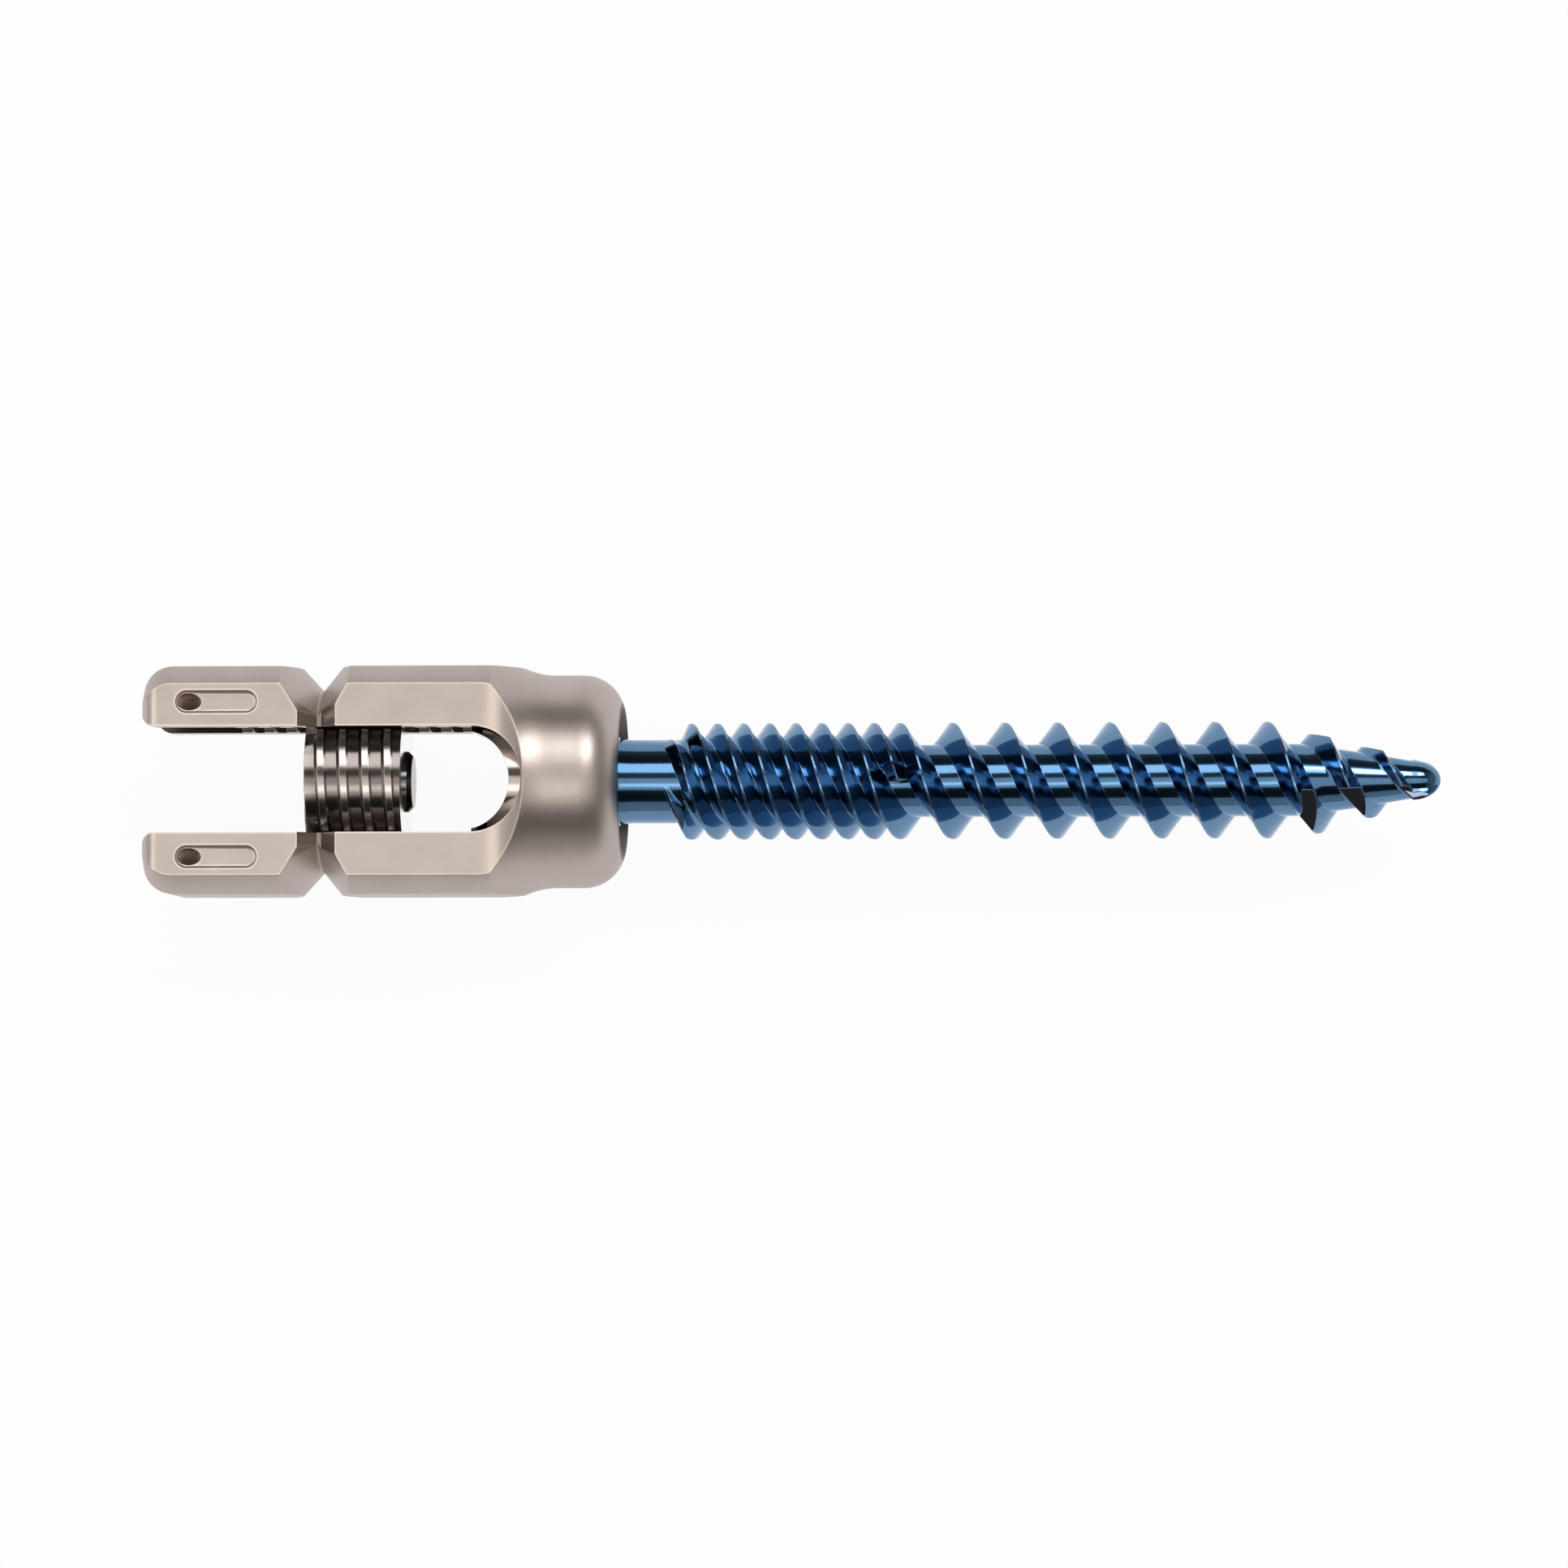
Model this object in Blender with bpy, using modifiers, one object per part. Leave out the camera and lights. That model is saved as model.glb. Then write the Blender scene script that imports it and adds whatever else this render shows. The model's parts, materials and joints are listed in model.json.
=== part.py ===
"""Long-arm polyaxial pedicle screw: bone screw, split ring, pressure saddle, tulip head and set screw.

The screw lies on its side. Its axis runs along X with the tip at +X, and the rod slot opens upwards.
Every piece is modelled upright about the centre of the ball, with its height counted towards the tabs,
and the whole is then laid down by one frame.
"""

import math

import bmesh
import bpy
from mathutils import Matrix, Vector

MM = 0.001

# Points closer than this are one, and cutters run past the metal by this much
WELD_DISTANCE = 0.002 * MM
CUT_PAST = 1.0 * MM

# Rod that the screw holds, and the slot that takes it
ROD_DIAMETER = 5.5 * MM
SLOT_SIDE_CLEARANCE = 0.2 * MM
SLOT_MOUTH_RADIUS = 0.75 * MM
THREAD_BELOW_SLOT_CENTRE = 0.8 * MM

# Bone screw: ball, neck and drive
BALL_DIAMETER = 7.4 * MM
BALL_FLAT_DROP = 1.7 * MM
NECK_DIAMETER = 4.68 * MM
NECK_LENGTH = 2.5 * MM
NECK_FILLET_LENGTH = 0.75 * MM
DRIVE_WALL = 1.5 * MM
DRIVE_LOBE_DEPTH = 0.55 * MM
BALL_DRIVE_DEPTH = 2.3 * MM

# Bone screw: thread, counted from the ball's centre
THREAD_DIAMETER = 6.5 * MM
CORE_DIAMETER = 4.04 * MM
THREAD_LEAD = 5.846 * MM
THREAD_CREST_WIDTH = 0.2 * MM
THREAD_FLANK_SLOPE = 1.48
THREAD_RUN_IN = 1.0 * MM
FINE_THREAD_END = 18.3 * MM
FINE_THREAD_RUN_OUT = 0.7 * MM
FIRST_CREST = 6.726 * MM
SHANK_REACH = 48.55 * MM
TIP_TAPER_LENGTH = 7.85 * MM
TIP_TAPER_DROP = 0.2 * MM
TIP_SHOULDER = 0.9 * MM
NOSE_LENGTH = 1.55 * MM
NOSE_RADIUS = 1.25 * MM
NOSE_THREAD_HEIGHT = 0.15 * MM
NOSE_CORE_INSET = 0.1 * MM
TIP_CORE_SAG = 0.05 * MM
FLUTE_WALL_OFFSET = 0.65 * MM
FLUTE_LEAN = math.radians(38.0)
FLUTE_SKIN = 0.06 * MM

# Fits between the pieces
BALL_CLEARANCE = 0.05 * MM
RING_CLEARANCE = 0.05 * MM
SADDLE_CLEARANCE = 0.06 * MM
THREAD_CLEARANCE = 0.08 * MM
ROD_CLEARANCE = 0.17 * MM
DRIVER_CLEARANCE = 0.4 * MM

# Split ring and the tilt that it leaves the bone screw
TILT_LIMIT = math.radians(25.0)
TILT_MARGIN = math.radians(2.0)
RING_TOP_DEPTH = 0.2 * MM
RING_WALL = 0.55 * MM
RING_SPLIT = 2.6 * MM

# Pressure saddle
SADDLE_WEB = 0.45 * MM
SADDLE_SKIRT_HEIGHT = 1.2 * MM
SADDLE_TOP_ABOVE_SEAT = 2.2 * MM
SADDLE_SKIRT_WALL = 0.35 * MM
SEAT_ABOVE_SLOT = 0.86 * MM

# Set screw
SET_SCREW_PITCH = 1.25 * MM
SET_SCREW_LENGTH = 5.35 * MM
SET_SCREW_THREAD_DEPTH = 0.42 * MM
SET_SCREW_CREST_WIDTH = 0.44 * MM
SET_SCREW_FLANK_WIDTH = 0.125 * MM
SET_SCREW_CHAMFER = 0.35 * MM
SET_SCREW_END_STEP = 0.1 * MM
SET_SCREW_DRIVE_DEPTH = 3.2 * MM
BOSS_RADIUS = 1.72 * MM
BOSS_HEIGHT = 0.41 * MM
BOSS_CHAMFER = 0.27 * MM

# Tulip head
ARM_WALL = 2.867 * MM
SIDE_WALL = 1.967 * MM
PAD_WALL = 0.517 * MM
WAIST_WALL = 1.6 * MM
PAD_SWEEP_RADIUS = 3.33 * MM
PAD_END_ABOVE_SLOT = 2.54 * MM
SHOULDER_END_ABOVE_SLOT = 1.8 * MM
SHOULDER_LENGTH = 3.3 * MM
SHOULDER_POWER = 1.9
BOTTOM_ROUND = 2.27 * MM
BOTTOM_WALL = 1.4 * MM
BOTTOM_ROUND_ANGLE = math.radians(75.0)
BOTTOM_RIM_WIDTH = 0.1 * MM
BOTTOM_FLARE_LENGTH = 0.7 * MM
OPENING_CLEARANCE = 0.15 * MM

# Break-off groove and reduction tabs
SET_SCREW_PROUD = 0.75 * MM
TAB_LENGTH = 9.78 * MM
GROOVE_DEPTH = 1.23 * MM
GROOVE_TAB_SLOPE = 1.06
GROOVE_HEAD_SLOPE = 1.2
GROOVE_BOTTOM_WIDTH = 0.1 * MM
NOTCH_ABOVE_GROOVE = 1.02 * MM
NOTCH_BELOW_GROOVE = 1.1 * MM
NOTCH_BOTTOM_WIDTH = 0.25 * MM
NOTCH_DEPTH = 1.2 * MM
TAB_ROUND_OF_WALL = 0.558
SIDE_ROUND_OF_WALL = 0.864
PAD_END_ROUND = 1.0 * MM
POCKET_WIDTH = 1.27 * MM
POCKET_LENGTH = 4.58 * MM
POCKET_DEPTH = 0.4 * MM
POCKET_FROM_END = 1.95 * MM
POCKET_FROM_SLOT = 1.36 * MM
HOOK_HOLE_DIAMETER = 1.0 * MM
HOOK_HOLE_DEPTH = 1.2 * MM
HOOK_HOLE_LEAN = math.radians(-50.0)
THREAD_ENTRY_CHAMFER = 0.1 * MM

# Facets round each turned piece
SHANK_SIDES = 24
SET_SCREW_SIDES = 32
HEAD_SIDES = 48
RING_SIDES = 40
DRIVE_POINTS = 36
ROD_SEAT_SIDES = 64
HOLE_SIDES = 12

# Sizes that follow from the ones above
ball_radius = BALL_DIAMETER / 2
neck_radius = NECK_DIAMETER / 2
core_radius = CORE_DIAMETER / 2
thread_radius = THREAD_DIAMETER / 2
rod_radius = ROD_DIAMETER / 2
socket_radius = ball_radius + BALL_CLEARANCE
ball_flat_height = ball_radius - BALL_FLAT_DROP
drive_radius = ball_radius - DRIVE_WALL
ball_end_depth = math.sqrt(ball_radius ** 2 - neck_radius ** 2)
neck_end_depth = ball_end_depth + NECK_LENGTH

ring_angle = math.asin(neck_radius / ball_radius) + TILT_LIMIT + TILT_MARGIN
ring_bottom_depth = socket_radius * math.cos(ring_angle)
ring_radius = socket_radius + RING_WALL
ring_groove_radius = ring_radius + RING_CLEARANCE
ring_shelf_depth = ring_bottom_depth + RING_CLEARANCE
opening_radius = ball_radius + OPENING_CLEARANCE
tulip_bottom_depth = ring_shelf_depth + BOTTOM_WALL
waist_radius = ring_groove_radius + WAIST_WALL

saddle_bore_radius = drive_radius + DRIVER_CLEARANCE
saddle_skirt_radius = math.sqrt(socket_radius ** 2 - SADDLE_SKIRT_HEIGHT ** 2)
saddle_radius = saddle_skirt_radius + SADDLE_SKIRT_WALL
saddle_bore_height = math.sqrt(socket_radius ** 2 - saddle_bore_radius ** 2)
seat_height = saddle_bore_height + SADDLE_WEB
saddle_top_height = seat_height + SADDLE_TOP_ABOVE_SEAT
rod_height = seat_height + rod_radius
saddle_guide_radius = saddle_radius + SADDLE_CLEARANCE

slot_half_width = rod_radius + SLOT_SIDE_CLEARANCE
slot_floor_height = seat_height - SEAT_ABOVE_SLOT
set_screw_root_radius = saddle_guide_radius - THREAD_CLEARANCE
set_screw_radius = set_screw_root_radius + SET_SCREW_THREAD_DEPTH
thread_bore_radius = set_screw_radius + THREAD_CLEARANCE
thread_bore_end_height = slot_floor_height + slot_half_width - THREAD_BELOW_SLOT_CENTRE
set_screw_base_height = rod_height + rod_radius + ROD_CLEARANCE + BOSS_HEIGHT
groove_height = set_screw_base_height + SET_SCREW_LENGTH - SET_SCREW_PROUD
tab_end_height = groove_height + TAB_LENGTH
blank_radius = thread_bore_radius + ARM_WALL
side_half_width = thread_bore_radius + SIDE_WALL
pad_half_width = thread_bore_radius + PAD_WALL
tab_end_round = TAB_ROUND_OF_WALL * ARM_WALL
side_end_round = SIDE_ROUND_OF_WALL * SIDE_WALL
outside = blank_radius + CUT_PAST


def new_collection(name):
    collection = bpy.data.collections.new(name)
    bpy.context.scene.collection.children.link(collection)
    return collection


for old in list(bpy.data.objects):
    bpy.data.objects.remove(old, do_unlink=True)
parts = new_collection("pedicle_screw")
cutters = new_collection("cutters")


def metal(name, color, roughness):
    material = bpy.data.materials.new(name)
    material.use_nodes = True
    shader = material.node_tree.nodes["Principled BSDF"]
    shader.inputs["Base Color"].default_value = (*color, 1.0)
    shader.inputs["Metallic"].default_value = 1.0
    shader.inputs["Roughness"].default_value = roughness
    return material


def add_object(name, mesh, collection=parts):
    obj = bpy.data.objects.new(name, mesh)
    collection.objects.link(obj)
    return obj


def shade_round(obj, angle=35.0):
    obj.data.shade_smooth()
    obj.data.set_sharp_from_angle(angle=math.radians(angle))


def arc(center, radius, start, end, steps):
    """Points on an arc in a plane, both ends included, with the angles in degrees."""
    angles = [math.radians(start + (end - start) * i / steps) for i in range(steps + 1)]
    return [(center[0] + radius * math.cos(a), center[1] + radius * math.sin(a)) for a in angles]


def turned(name, profile, sides):
    """A closed (radius, height) profile spun about the axis; it runs down its outer side."""
    bm = bmesh.new()
    verts = [bm.verts.new((radius, 0.0, height)) for radius, height in profile]
    for a, b in zip(verts, verts[1:] + verts[:1]):
        bm.edges.new((a, b))
    mesh = bpy.data.meshes.new(name)
    bm.to_mesh(mesh)
    bm.free()
    obj = add_object(name, mesh)
    screw = obj.modifiers.new("turn", "SCREW")
    screw.axis = "Z"
    screw.angle = math.tau
    screw.steps = sides
    screw.render_steps = sides
    screw.use_merge_vertices = True
    screw.merge_threshold = WELD_DISTANCE
    screw.use_smooth_shade = True
    return obj


def as_cutter(obj):
    obj.hide_render = True
    obj.display_type = "WIRE"
    return obj


def outline_cutter(name, outline, half_thickness, matrix):
    """A flat outline given half its thickness, made a mesh and put in its place."""
    curve = bpy.data.curves.new(name, "CURVE")
    curve.dimensions = "2D"
    curve.fill_mode = "BOTH"
    curve.extrude = half_thickness
    spline = curve.splines.new("POLY")
    spline.points.add(len(outline) - 1)
    for point, (x, y) in zip(spline.points, outline):
        point.co = (x, y, 0.0, 1.0)
    spline.use_cyclic_u = True
    shape = add_object(name + "_outline", curve, cutters)
    shape.matrix_world = matrix
    bpy.context.view_layer.update()
    mesh = bpy.data.meshes.new_from_object(shape.evaluated_get(bpy.context.evaluated_depsgraph_get()))
    bm = bmesh.new()
    bm.from_mesh(mesh)
    bmesh.ops.remove_doubles(bm, verts=bm.verts, dist=WELD_DISTANCE)
    bmesh.ops.recalc_face_normals(bm, faces=bm.faces)
    bm.to_mesh(mesh)
    bm.free()
    cutter = as_cutter(add_object(name, mesh, cutters))
    cutter.matrix_world = shape.matrix_world
    bpy.data.objects.remove(shape, do_unlink=True)
    return cutter


def box_cutter(name, low, high, turn=None):
    """A box between two corners, turned first about the ball's centre where a turn is given."""
    bm = bmesh.new()
    bmesh.ops.create_cube(bm, size=1.0)
    low, high = Vector(low), Vector(high)
    bmesh.ops.scale(bm, vec=high - low, verts=bm.verts)
    bmesh.ops.translate(bm, vec=(low + high) / 2, verts=bm.verts)
    if turn is not None:
        bmesh.ops.transform(bm, matrix=turn, verts=bm.verts)
    mesh = bpy.data.meshes.new(name)
    bm.to_mesh(mesh)
    bm.free()
    return as_cutter(add_object(name, mesh, cutters))


def cylinder_cutter(name, radius, length, sides, matrix):
    bm = bmesh.new()
    bmesh.ops.create_cone(
        bm, cap_ends=True, segments=sides, radius1=radius, radius2=radius, depth=length, matrix=matrix
    )
    mesh = bpy.data.meshes.new(name)
    bm.to_mesh(mesh)
    bm.free()
    return as_cutter(add_object(name, mesh, cutters))


def cut(obj, cutter):
    boolean = obj.modifiers.new(cutter.name, "BOOLEAN")
    boolean.operation = "DIFFERENCE"
    boolean.solver = "EXACT"
    boolean.object = cutter


# Turns a flat outline drawn as (across, height) so that it is extruded along the rod, or across the arms
ALONG_ROD = Matrix(((0, 0, 1, 0), (1, 0, 0, 0), (0, 1, 0, 0), (0, 0, 0, 1)))
ACROSS_ARMS = Matrix(((1, 0, 0, 0), (0, 0, -1, 0), (0, 1, 0, 0), (0, 0, 0, 1)))


def drive_cutter(name, top_height, depth):
    """Six-lobed driver socket, open at its top."""
    swing = DRIVE_LOBE_DEPTH / 2
    mean = drive_radius - swing
    outline = []
    for i in range(DRIVE_POINTS):
        angle = math.tau * i / DRIVE_POINTS
        radius = mean + swing * math.cos(6 * angle)
        outline.append((radius * math.cos(angle), radius * math.sin(angle)))
    half = (depth + CUT_PAST) / 2
    return outline_cutter(name, outline, half, Matrix.Translation((0, 0, top_height + CUT_PAST - half)))


def ramp(value, start, end):
    """0 at start, 1 at end, straight between."""
    return min(max((value - start) / (end - start), 0.0), 1.0)


def read_profile(profile, height):
    """Radius at a height on a profile of (height, radius) points that climb."""
    for (h0, r0), (h1, r1) in zip(profile, profile[1:]):
        if height <= h1:
            return r0 + (r1 - r0) * ramp(height, h0, h1)
    return profile[-1][1]


def thread_loft(name, sides, lead, stations, phase, radius_at, rings_below, rings_above):
    """One closed body whose threaded length follows the helix.

    Plain rings of (height, radius) stand below and above the thread. Between the last ring below and the
    first ring above, each row of points climbs one lead per turn, so the crests lie along the rows. The
    stations are heights within one lead, counted from the crest that phase puts at angle 0.
    """
    bm = bmesh.new()
    angles = [math.tau * j / sides for j in range(sides)]

    def ring(height, radius):
        if radius == 0.0:
            return [bm.verts.new((0.0, 0.0, height))] * sides
        return [bm.verts.new((radius * math.cos(a), radius * math.sin(a), height)) for a in angles]

    below = [ring(height, radius) for height, radius in rings_below]
    above = [ring(height, radius) for height, radius in rings_above]
    low, high = rings_below[-1][0], rings_above[0][0]
    snap = 10 * WELD_DISTANCE
    count = len(stations)
    grid = {}

    def point(row, column):
        if column == sides:
            row, column = row + count, 0
        turn, index = divmod(row, count)
        height = phase + turn * lead + stations[index] + lead * column / sides
        if height < low + snap:
            return below[-1][column]
        if height > high - snap:
            return above[0][column]
        if (row, column) not in grid:
            radius = radius_at(angles[column], height)
            place = (radius * math.cos(angles[column]), radius * math.sin(angles[column]), height)
            grid[row, column] = bm.verts.new(place)
        return grid[row, column]

    def face(*corners):
        loop = [v for v, following in zip(corners, corners[1:] + corners[:1]) if v is not following]
        if len(loop) > 2:
            bm.faces.new(loop)

    first = count * math.floor((low - phase - lead) / lead) - count
    last = count * math.ceil((high - phase) / lead) + count
    for row in range(first, last):
        for column in range(sides):
            face(point(row, column), point(row, column + 1), point(row + 1, column + 1), point(row + 1, column))
    for rings in (below, above):
        for lower, upper in zip(rings, rings[1:]):
            for j in range(sides):
                k = (j + 1) % sides
                face(lower[j], lower[k], upper[k], upper[j])
    if rings_below[0][1] > 0.0:
        bm.faces.new(list(reversed(below[0])))
    bm.faces.new(above[-1])
    mesh = bpy.data.meshes.new(name)
    bm.to_mesh(mesh)
    bm.free()
    return add_object(name, mesh)


# Heights below the ball's centre where the tip of the bone screw changes its form
nose_height = -(SHANK_REACH - NOSE_LENGTH)
taper_height = -(SHANK_REACH - TIP_TAPER_LENGTH)
taper_knee_height = taper_height - TIP_SHOULDER
thread_top_height = -neck_end_depth
core_knee_height = (taper_height + nose_height) / 2

crest_profile = [
    (nose_height, NOSE_RADIUS + NOSE_THREAD_HEIGHT),
    (taper_knee_height, thread_radius - TIP_TAPER_DROP),
    (taper_height, thread_radius),
    (thread_top_height - THREAD_RUN_IN, thread_radius),
    (thread_top_height, neck_radius),
]
core_profile = [
    (nose_height, NOSE_RADIUS - NOSE_CORE_INSET),
    (core_knee_height, (core_radius + NOSE_RADIUS) / 2 - TIP_CORE_SAG),
    (taper_height, core_radius),
    (-FINE_THREAD_END, core_radius),
    (-FINE_THREAD_END / 2, neck_radius),
    (thread_top_height, neck_radius),
]


def bone_thread_radius(angle, height):
    """Two coarse starts all along, and two more between them on the fine length by the neck."""
    from_crest = (height + FIRST_CREST - THREAD_LEAD * (angle - math.pi / 2) / math.tau) % (THREAD_LEAD / 2)
    coarse = min(from_crest, THREAD_LEAD / 2 - from_crest)
    fine = THREAD_LEAD / 4 - coarse
    crest = read_profile(crest_profile, height)
    core = read_profile(core_profile, height)
    fade = ramp(height, -FINE_THREAD_END - FINE_THREAD_RUN_OUT / 2, -FINE_THREAD_END + FINE_THREAD_RUN_OUT / 2)
    half_crest = THREAD_CREST_WIDTH / 2
    coarse_radius = crest - THREAD_FLANK_SLOPE * max(0.0, coarse - half_crest)
    fine_radius = core + (crest - core) * fade - THREAD_FLANK_SLOPE * max(0.0, fine - half_crest)
    return max(core, coarse_radius, fine_radius)


def flute_outline(floor):
    """Section of a cutting flute: a floor along Y that clears the core, and a wall that leans away from it."""
    reach = 2 * thread_radius
    corner = (floor * math.sin(FLUTE_LEAN) - FLUTE_WALL_OFFSET) / math.cos(FLUTE_LEAN)
    wall_end = (reach * math.cos(FLUTE_LEAN), corner + reach * math.sin(FLUTE_LEAN))
    return [(0.0, -reach), (reach, -reach), wall_end, (0.0, corner)]


def bone_screw():
    """Ball, neck, thread and nose as one turned and whirled bar, with its drive and cutting flutes."""
    half_crest = THREAD_CREST_WIDTH / 2
    half_lead = THREAD_LEAD / 2
    root_start = half_crest + (thread_radius - core_radius) / THREAD_FLANK_SLOPE
    start_stations = [
        half_crest,
        half_lead / 4,
        root_start,
        half_lead / 2 - half_crest,
        half_lead / 2 + half_crest,
        half_lead - root_start,
        3 * half_lead / 4,
        half_lead - half_crest,
    ]
    stations = sorted(start_stations + [half_lead + s for s in start_stations])
    nose = [(nose_height - NOSE_LENGTH, 0.0)]
    for degrees in (60, 30, 0):
        a = math.radians(degrees)
        nose.append((nose_height - NOSE_LENGTH * math.sin(a), NOSE_RADIUS * math.cos(a)))
    fillet_start = ball_end_depth - NECK_FILLET_LENGTH / 3
    fillet_end = ball_end_depth + 2 * NECK_FILLET_LENGTH / 3
    start_radius = math.sqrt(ball_radius ** 2 - fillet_start ** 2)
    neck = [(thread_top_height, neck_radius)]
    for share in (0.0, 0.35, 0.7):
        height = -fillet_end + (fillet_end - fillet_start) * share
        neck.append((height, neck_radius + (start_radius - neck_radius) * share ** 2))
    low_angle = math.asin(-fillet_start / ball_radius)
    high_angle = math.asin(ball_flat_height / ball_radius)
    steps = 9
    for i in range(steps + 1):
        a = low_angle + (high_angle - low_angle) * i / steps
        neck.append((ball_radius * math.sin(a), ball_radius * math.cos(a)))
    phase = -FIRST_CREST - THREAD_LEAD / 4
    obj = thread_loft(
        "bone_screw", SHANK_SIDES, THREAD_LEAD, stations, phase, bone_thread_radius, nose, neck
    )
    cut(obj, drive_cutter("ball_drive", ball_flat_height, BALL_DRIVE_DEPTH))
    taper_run = taper_height - nose_height
    slope = math.atan2(core_radius - NOSE_RADIUS, taper_run)
    floor = core_radius + FLUTE_SKIN
    for number, degrees in enumerate((0, 180)):
        flute = outline_cutter(
            f"flute_{number}",
            flute_outline(floor),
            taper_run,
            Matrix.Rotation(math.radians(degrees) - FLUTE_LEAN, 4, "Z")
            @ Matrix.Translation((floor, 0.0, taper_height))
            @ Matrix.Rotation(slope, 4, "Y")
            @ Matrix.Translation((0.0, 0.0, -taper_run)),
        )
        cut(obj, flute)
    shade_round(obj)
    return obj


def split_ring():
    """Snap ring that traps the ball: a round seat inside, straight outside, and one gap."""
    top = math.degrees(math.asin(RING_TOP_DEPTH / socket_radius))
    bottom = math.degrees(math.asin(ring_bottom_depth / socket_radius))
    seat = arc((0, 0), socket_radius, -bottom, -top, 4)
    profile = [(ring_radius, -RING_TOP_DEPTH), (ring_radius, -ring_bottom_depth)] + seat
    obj = turned("split_ring", profile, RING_SIDES)
    gap = box_cutter(
        "ring_gap",
        (0.0, -RING_SPLIT / 2, -2 * ring_bottom_depth),
        (2 * ring_radius, RING_SPLIT / 2, ring_bottom_depth),
        Matrix.Rotation(math.radians(90), 4, "Z"),
    )
    cut(obj, gap)
    shade_round(obj)
    return obj


def saddle():
    """Pressure cap: a round seat on the ball, a driver hole, and a half-round seat for the rod."""
    low = math.degrees(math.acos(saddle_skirt_radius / socket_radius))
    high = math.degrees(math.acos(saddle_bore_radius / socket_radius))
    dome = arc((0, 0), socket_radius, low, high, 7)
    profile = [(saddle_radius, saddle_top_height), (saddle_radius, SADDLE_SKIRT_HEIGHT)]
    profile += dome
    profile += [(saddle_bore_radius, saddle_top_height)]
    obj = turned("pressure_saddle", profile, RING_SIDES)
    along_rod = Matrix.Translation((0, 0, rod_height)) @ Matrix.Rotation(math.radians(90), 4, "Y")
    cut(obj, cylinder_cutter("rod_seat", rod_radius, 4 * saddle_radius, ROD_SEAT_SIDES, along_rod))
    shade_round(obj)
    return obj


def tulip_profile():
    """Half section of the turned blank, from the tab ends down the outside and back up the bore."""
    groove_bottom = side_half_width - GROOVE_DEPTH
    groove_rise = blank_radius - groove_bottom
    shoulder_top = slot_floor_height + SHOULDER_END_ABOVE_SLOT
    shoulder_drop = blank_radius - waist_radius
    outer = arc((blank_radius - tab_end_round, tab_end_height - tab_end_round), tab_end_round, 90, 0, 7)
    outer += [
        (blank_radius, groove_height + groove_rise / GROOVE_TAB_SLOPE),
        (groove_bottom, groove_height + GROOVE_BOTTOM_WIDTH / 2),
        (groove_bottom, groove_height - GROOVE_BOTTOM_WIDTH / 2),
        (blank_radius, groove_height - groove_rise / GROOVE_HEAD_SLOPE),
    ]
    steps = 7
    for i in range(steps + 1):
        share = i / steps
        radius = blank_radius - shoulder_drop * (1 - (1 - share) ** SHOULDER_POWER)
        outer.append((radius, shoulder_top - SHOULDER_LENGTH * share))
    rim_drop = BOTTOM_ROUND * math.sin(BOTTOM_ROUND_ANGLE)
    round_center = (waist_radius - BOTTOM_ROUND, -tulip_bottom_depth + rim_drop)
    outer += arc(round_center, BOTTOM_ROUND, 0, -math.degrees(BOTTOM_ROUND_ANGLE), 8)
    rim_radius = round_center[0] + BOTTOM_ROUND * math.cos(BOTTOM_ROUND_ANGLE)
    inner = [
        (rim_radius - BOTTOM_RIM_WIDTH, -tulip_bottom_depth),
        (opening_radius, -tulip_bottom_depth + BOTTOM_FLARE_LENGTH),
        (opening_radius, -ring_shelf_depth),
        (ring_groove_radius, -ring_shelf_depth),
        (ring_groove_radius, -RING_TOP_DEPTH + RING_CLEARANCE),
        (saddle_guide_radius, -RING_TOP_DEPTH + RING_CLEARANCE),
        (saddle_guide_radius, thread_bore_end_height),
        (thread_bore_radius, thread_bore_end_height + SET_SCREW_THREAD_DEPTH / 2),
        (thread_bore_radius, tab_end_height - THREAD_ENTRY_CHAMFER),
        (thread_bore_radius + THREAD_ENTRY_CHAMFER, tab_end_height),
    ]
    return outer + inner


def slot_outline():
    """U-shaped slot, open at the tab ends, where its corners are rounded away."""
    centre = slot_floor_height + slot_half_width
    mouth = slot_half_width + SLOT_MOUTH_RADIUS
    above = tab_end_height + CUT_PAST
    floor = arc((0, centre), slot_half_width, -180, 0, 20)
    mouth_height = tab_end_height - SLOT_MOUTH_RADIUS
    right = arc((mouth, mouth_height), SLOT_MOUTH_RADIUS, 180, 90, 5)
    left = [(-y, h) for y, h in reversed(right)]
    return floor + right + [(mouth, above), (-mouth, above)] + left


def side_outline():
    """Flat side of an arm, rounded in at the tab end."""
    centre = (side_half_width - side_end_round, tab_end_height - side_end_round)
    below = -tulip_bottom_depth - CUT_PAST
    above = tab_end_height + CUT_PAST
    end_round = arc(centre, side_end_round, 0, 90, 7)
    return [(side_half_width, below)] + end_round + [(centre[0], above), (outside, above), (outside, below)]


def pad_outline():
    """Flat pad, rounded in at the tab end, that ends in the round sweep of the milling cutter."""
    pad_end = slot_floor_height + PAD_END_ABOVE_SLOT
    centre = (pad_half_width - PAD_END_ROUND, tab_end_height - PAD_END_ROUND)
    end_round = arc(centre, PAD_END_ROUND, 90, 0, 6)
    sweep = arc((pad_half_width + PAD_SWEEP_RADIUS, pad_end), PAD_SWEEP_RADIUS, 180, 270, 8)
    far = max(outside, pad_half_width + PAD_SWEEP_RADIUS) + CUT_PAST
    above = tab_end_height + CUT_PAST
    return [(centre[0], above)] + end_round + sweep + [(far, pad_end - PAD_SWEEP_RADIUS), (far, above)]


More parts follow.
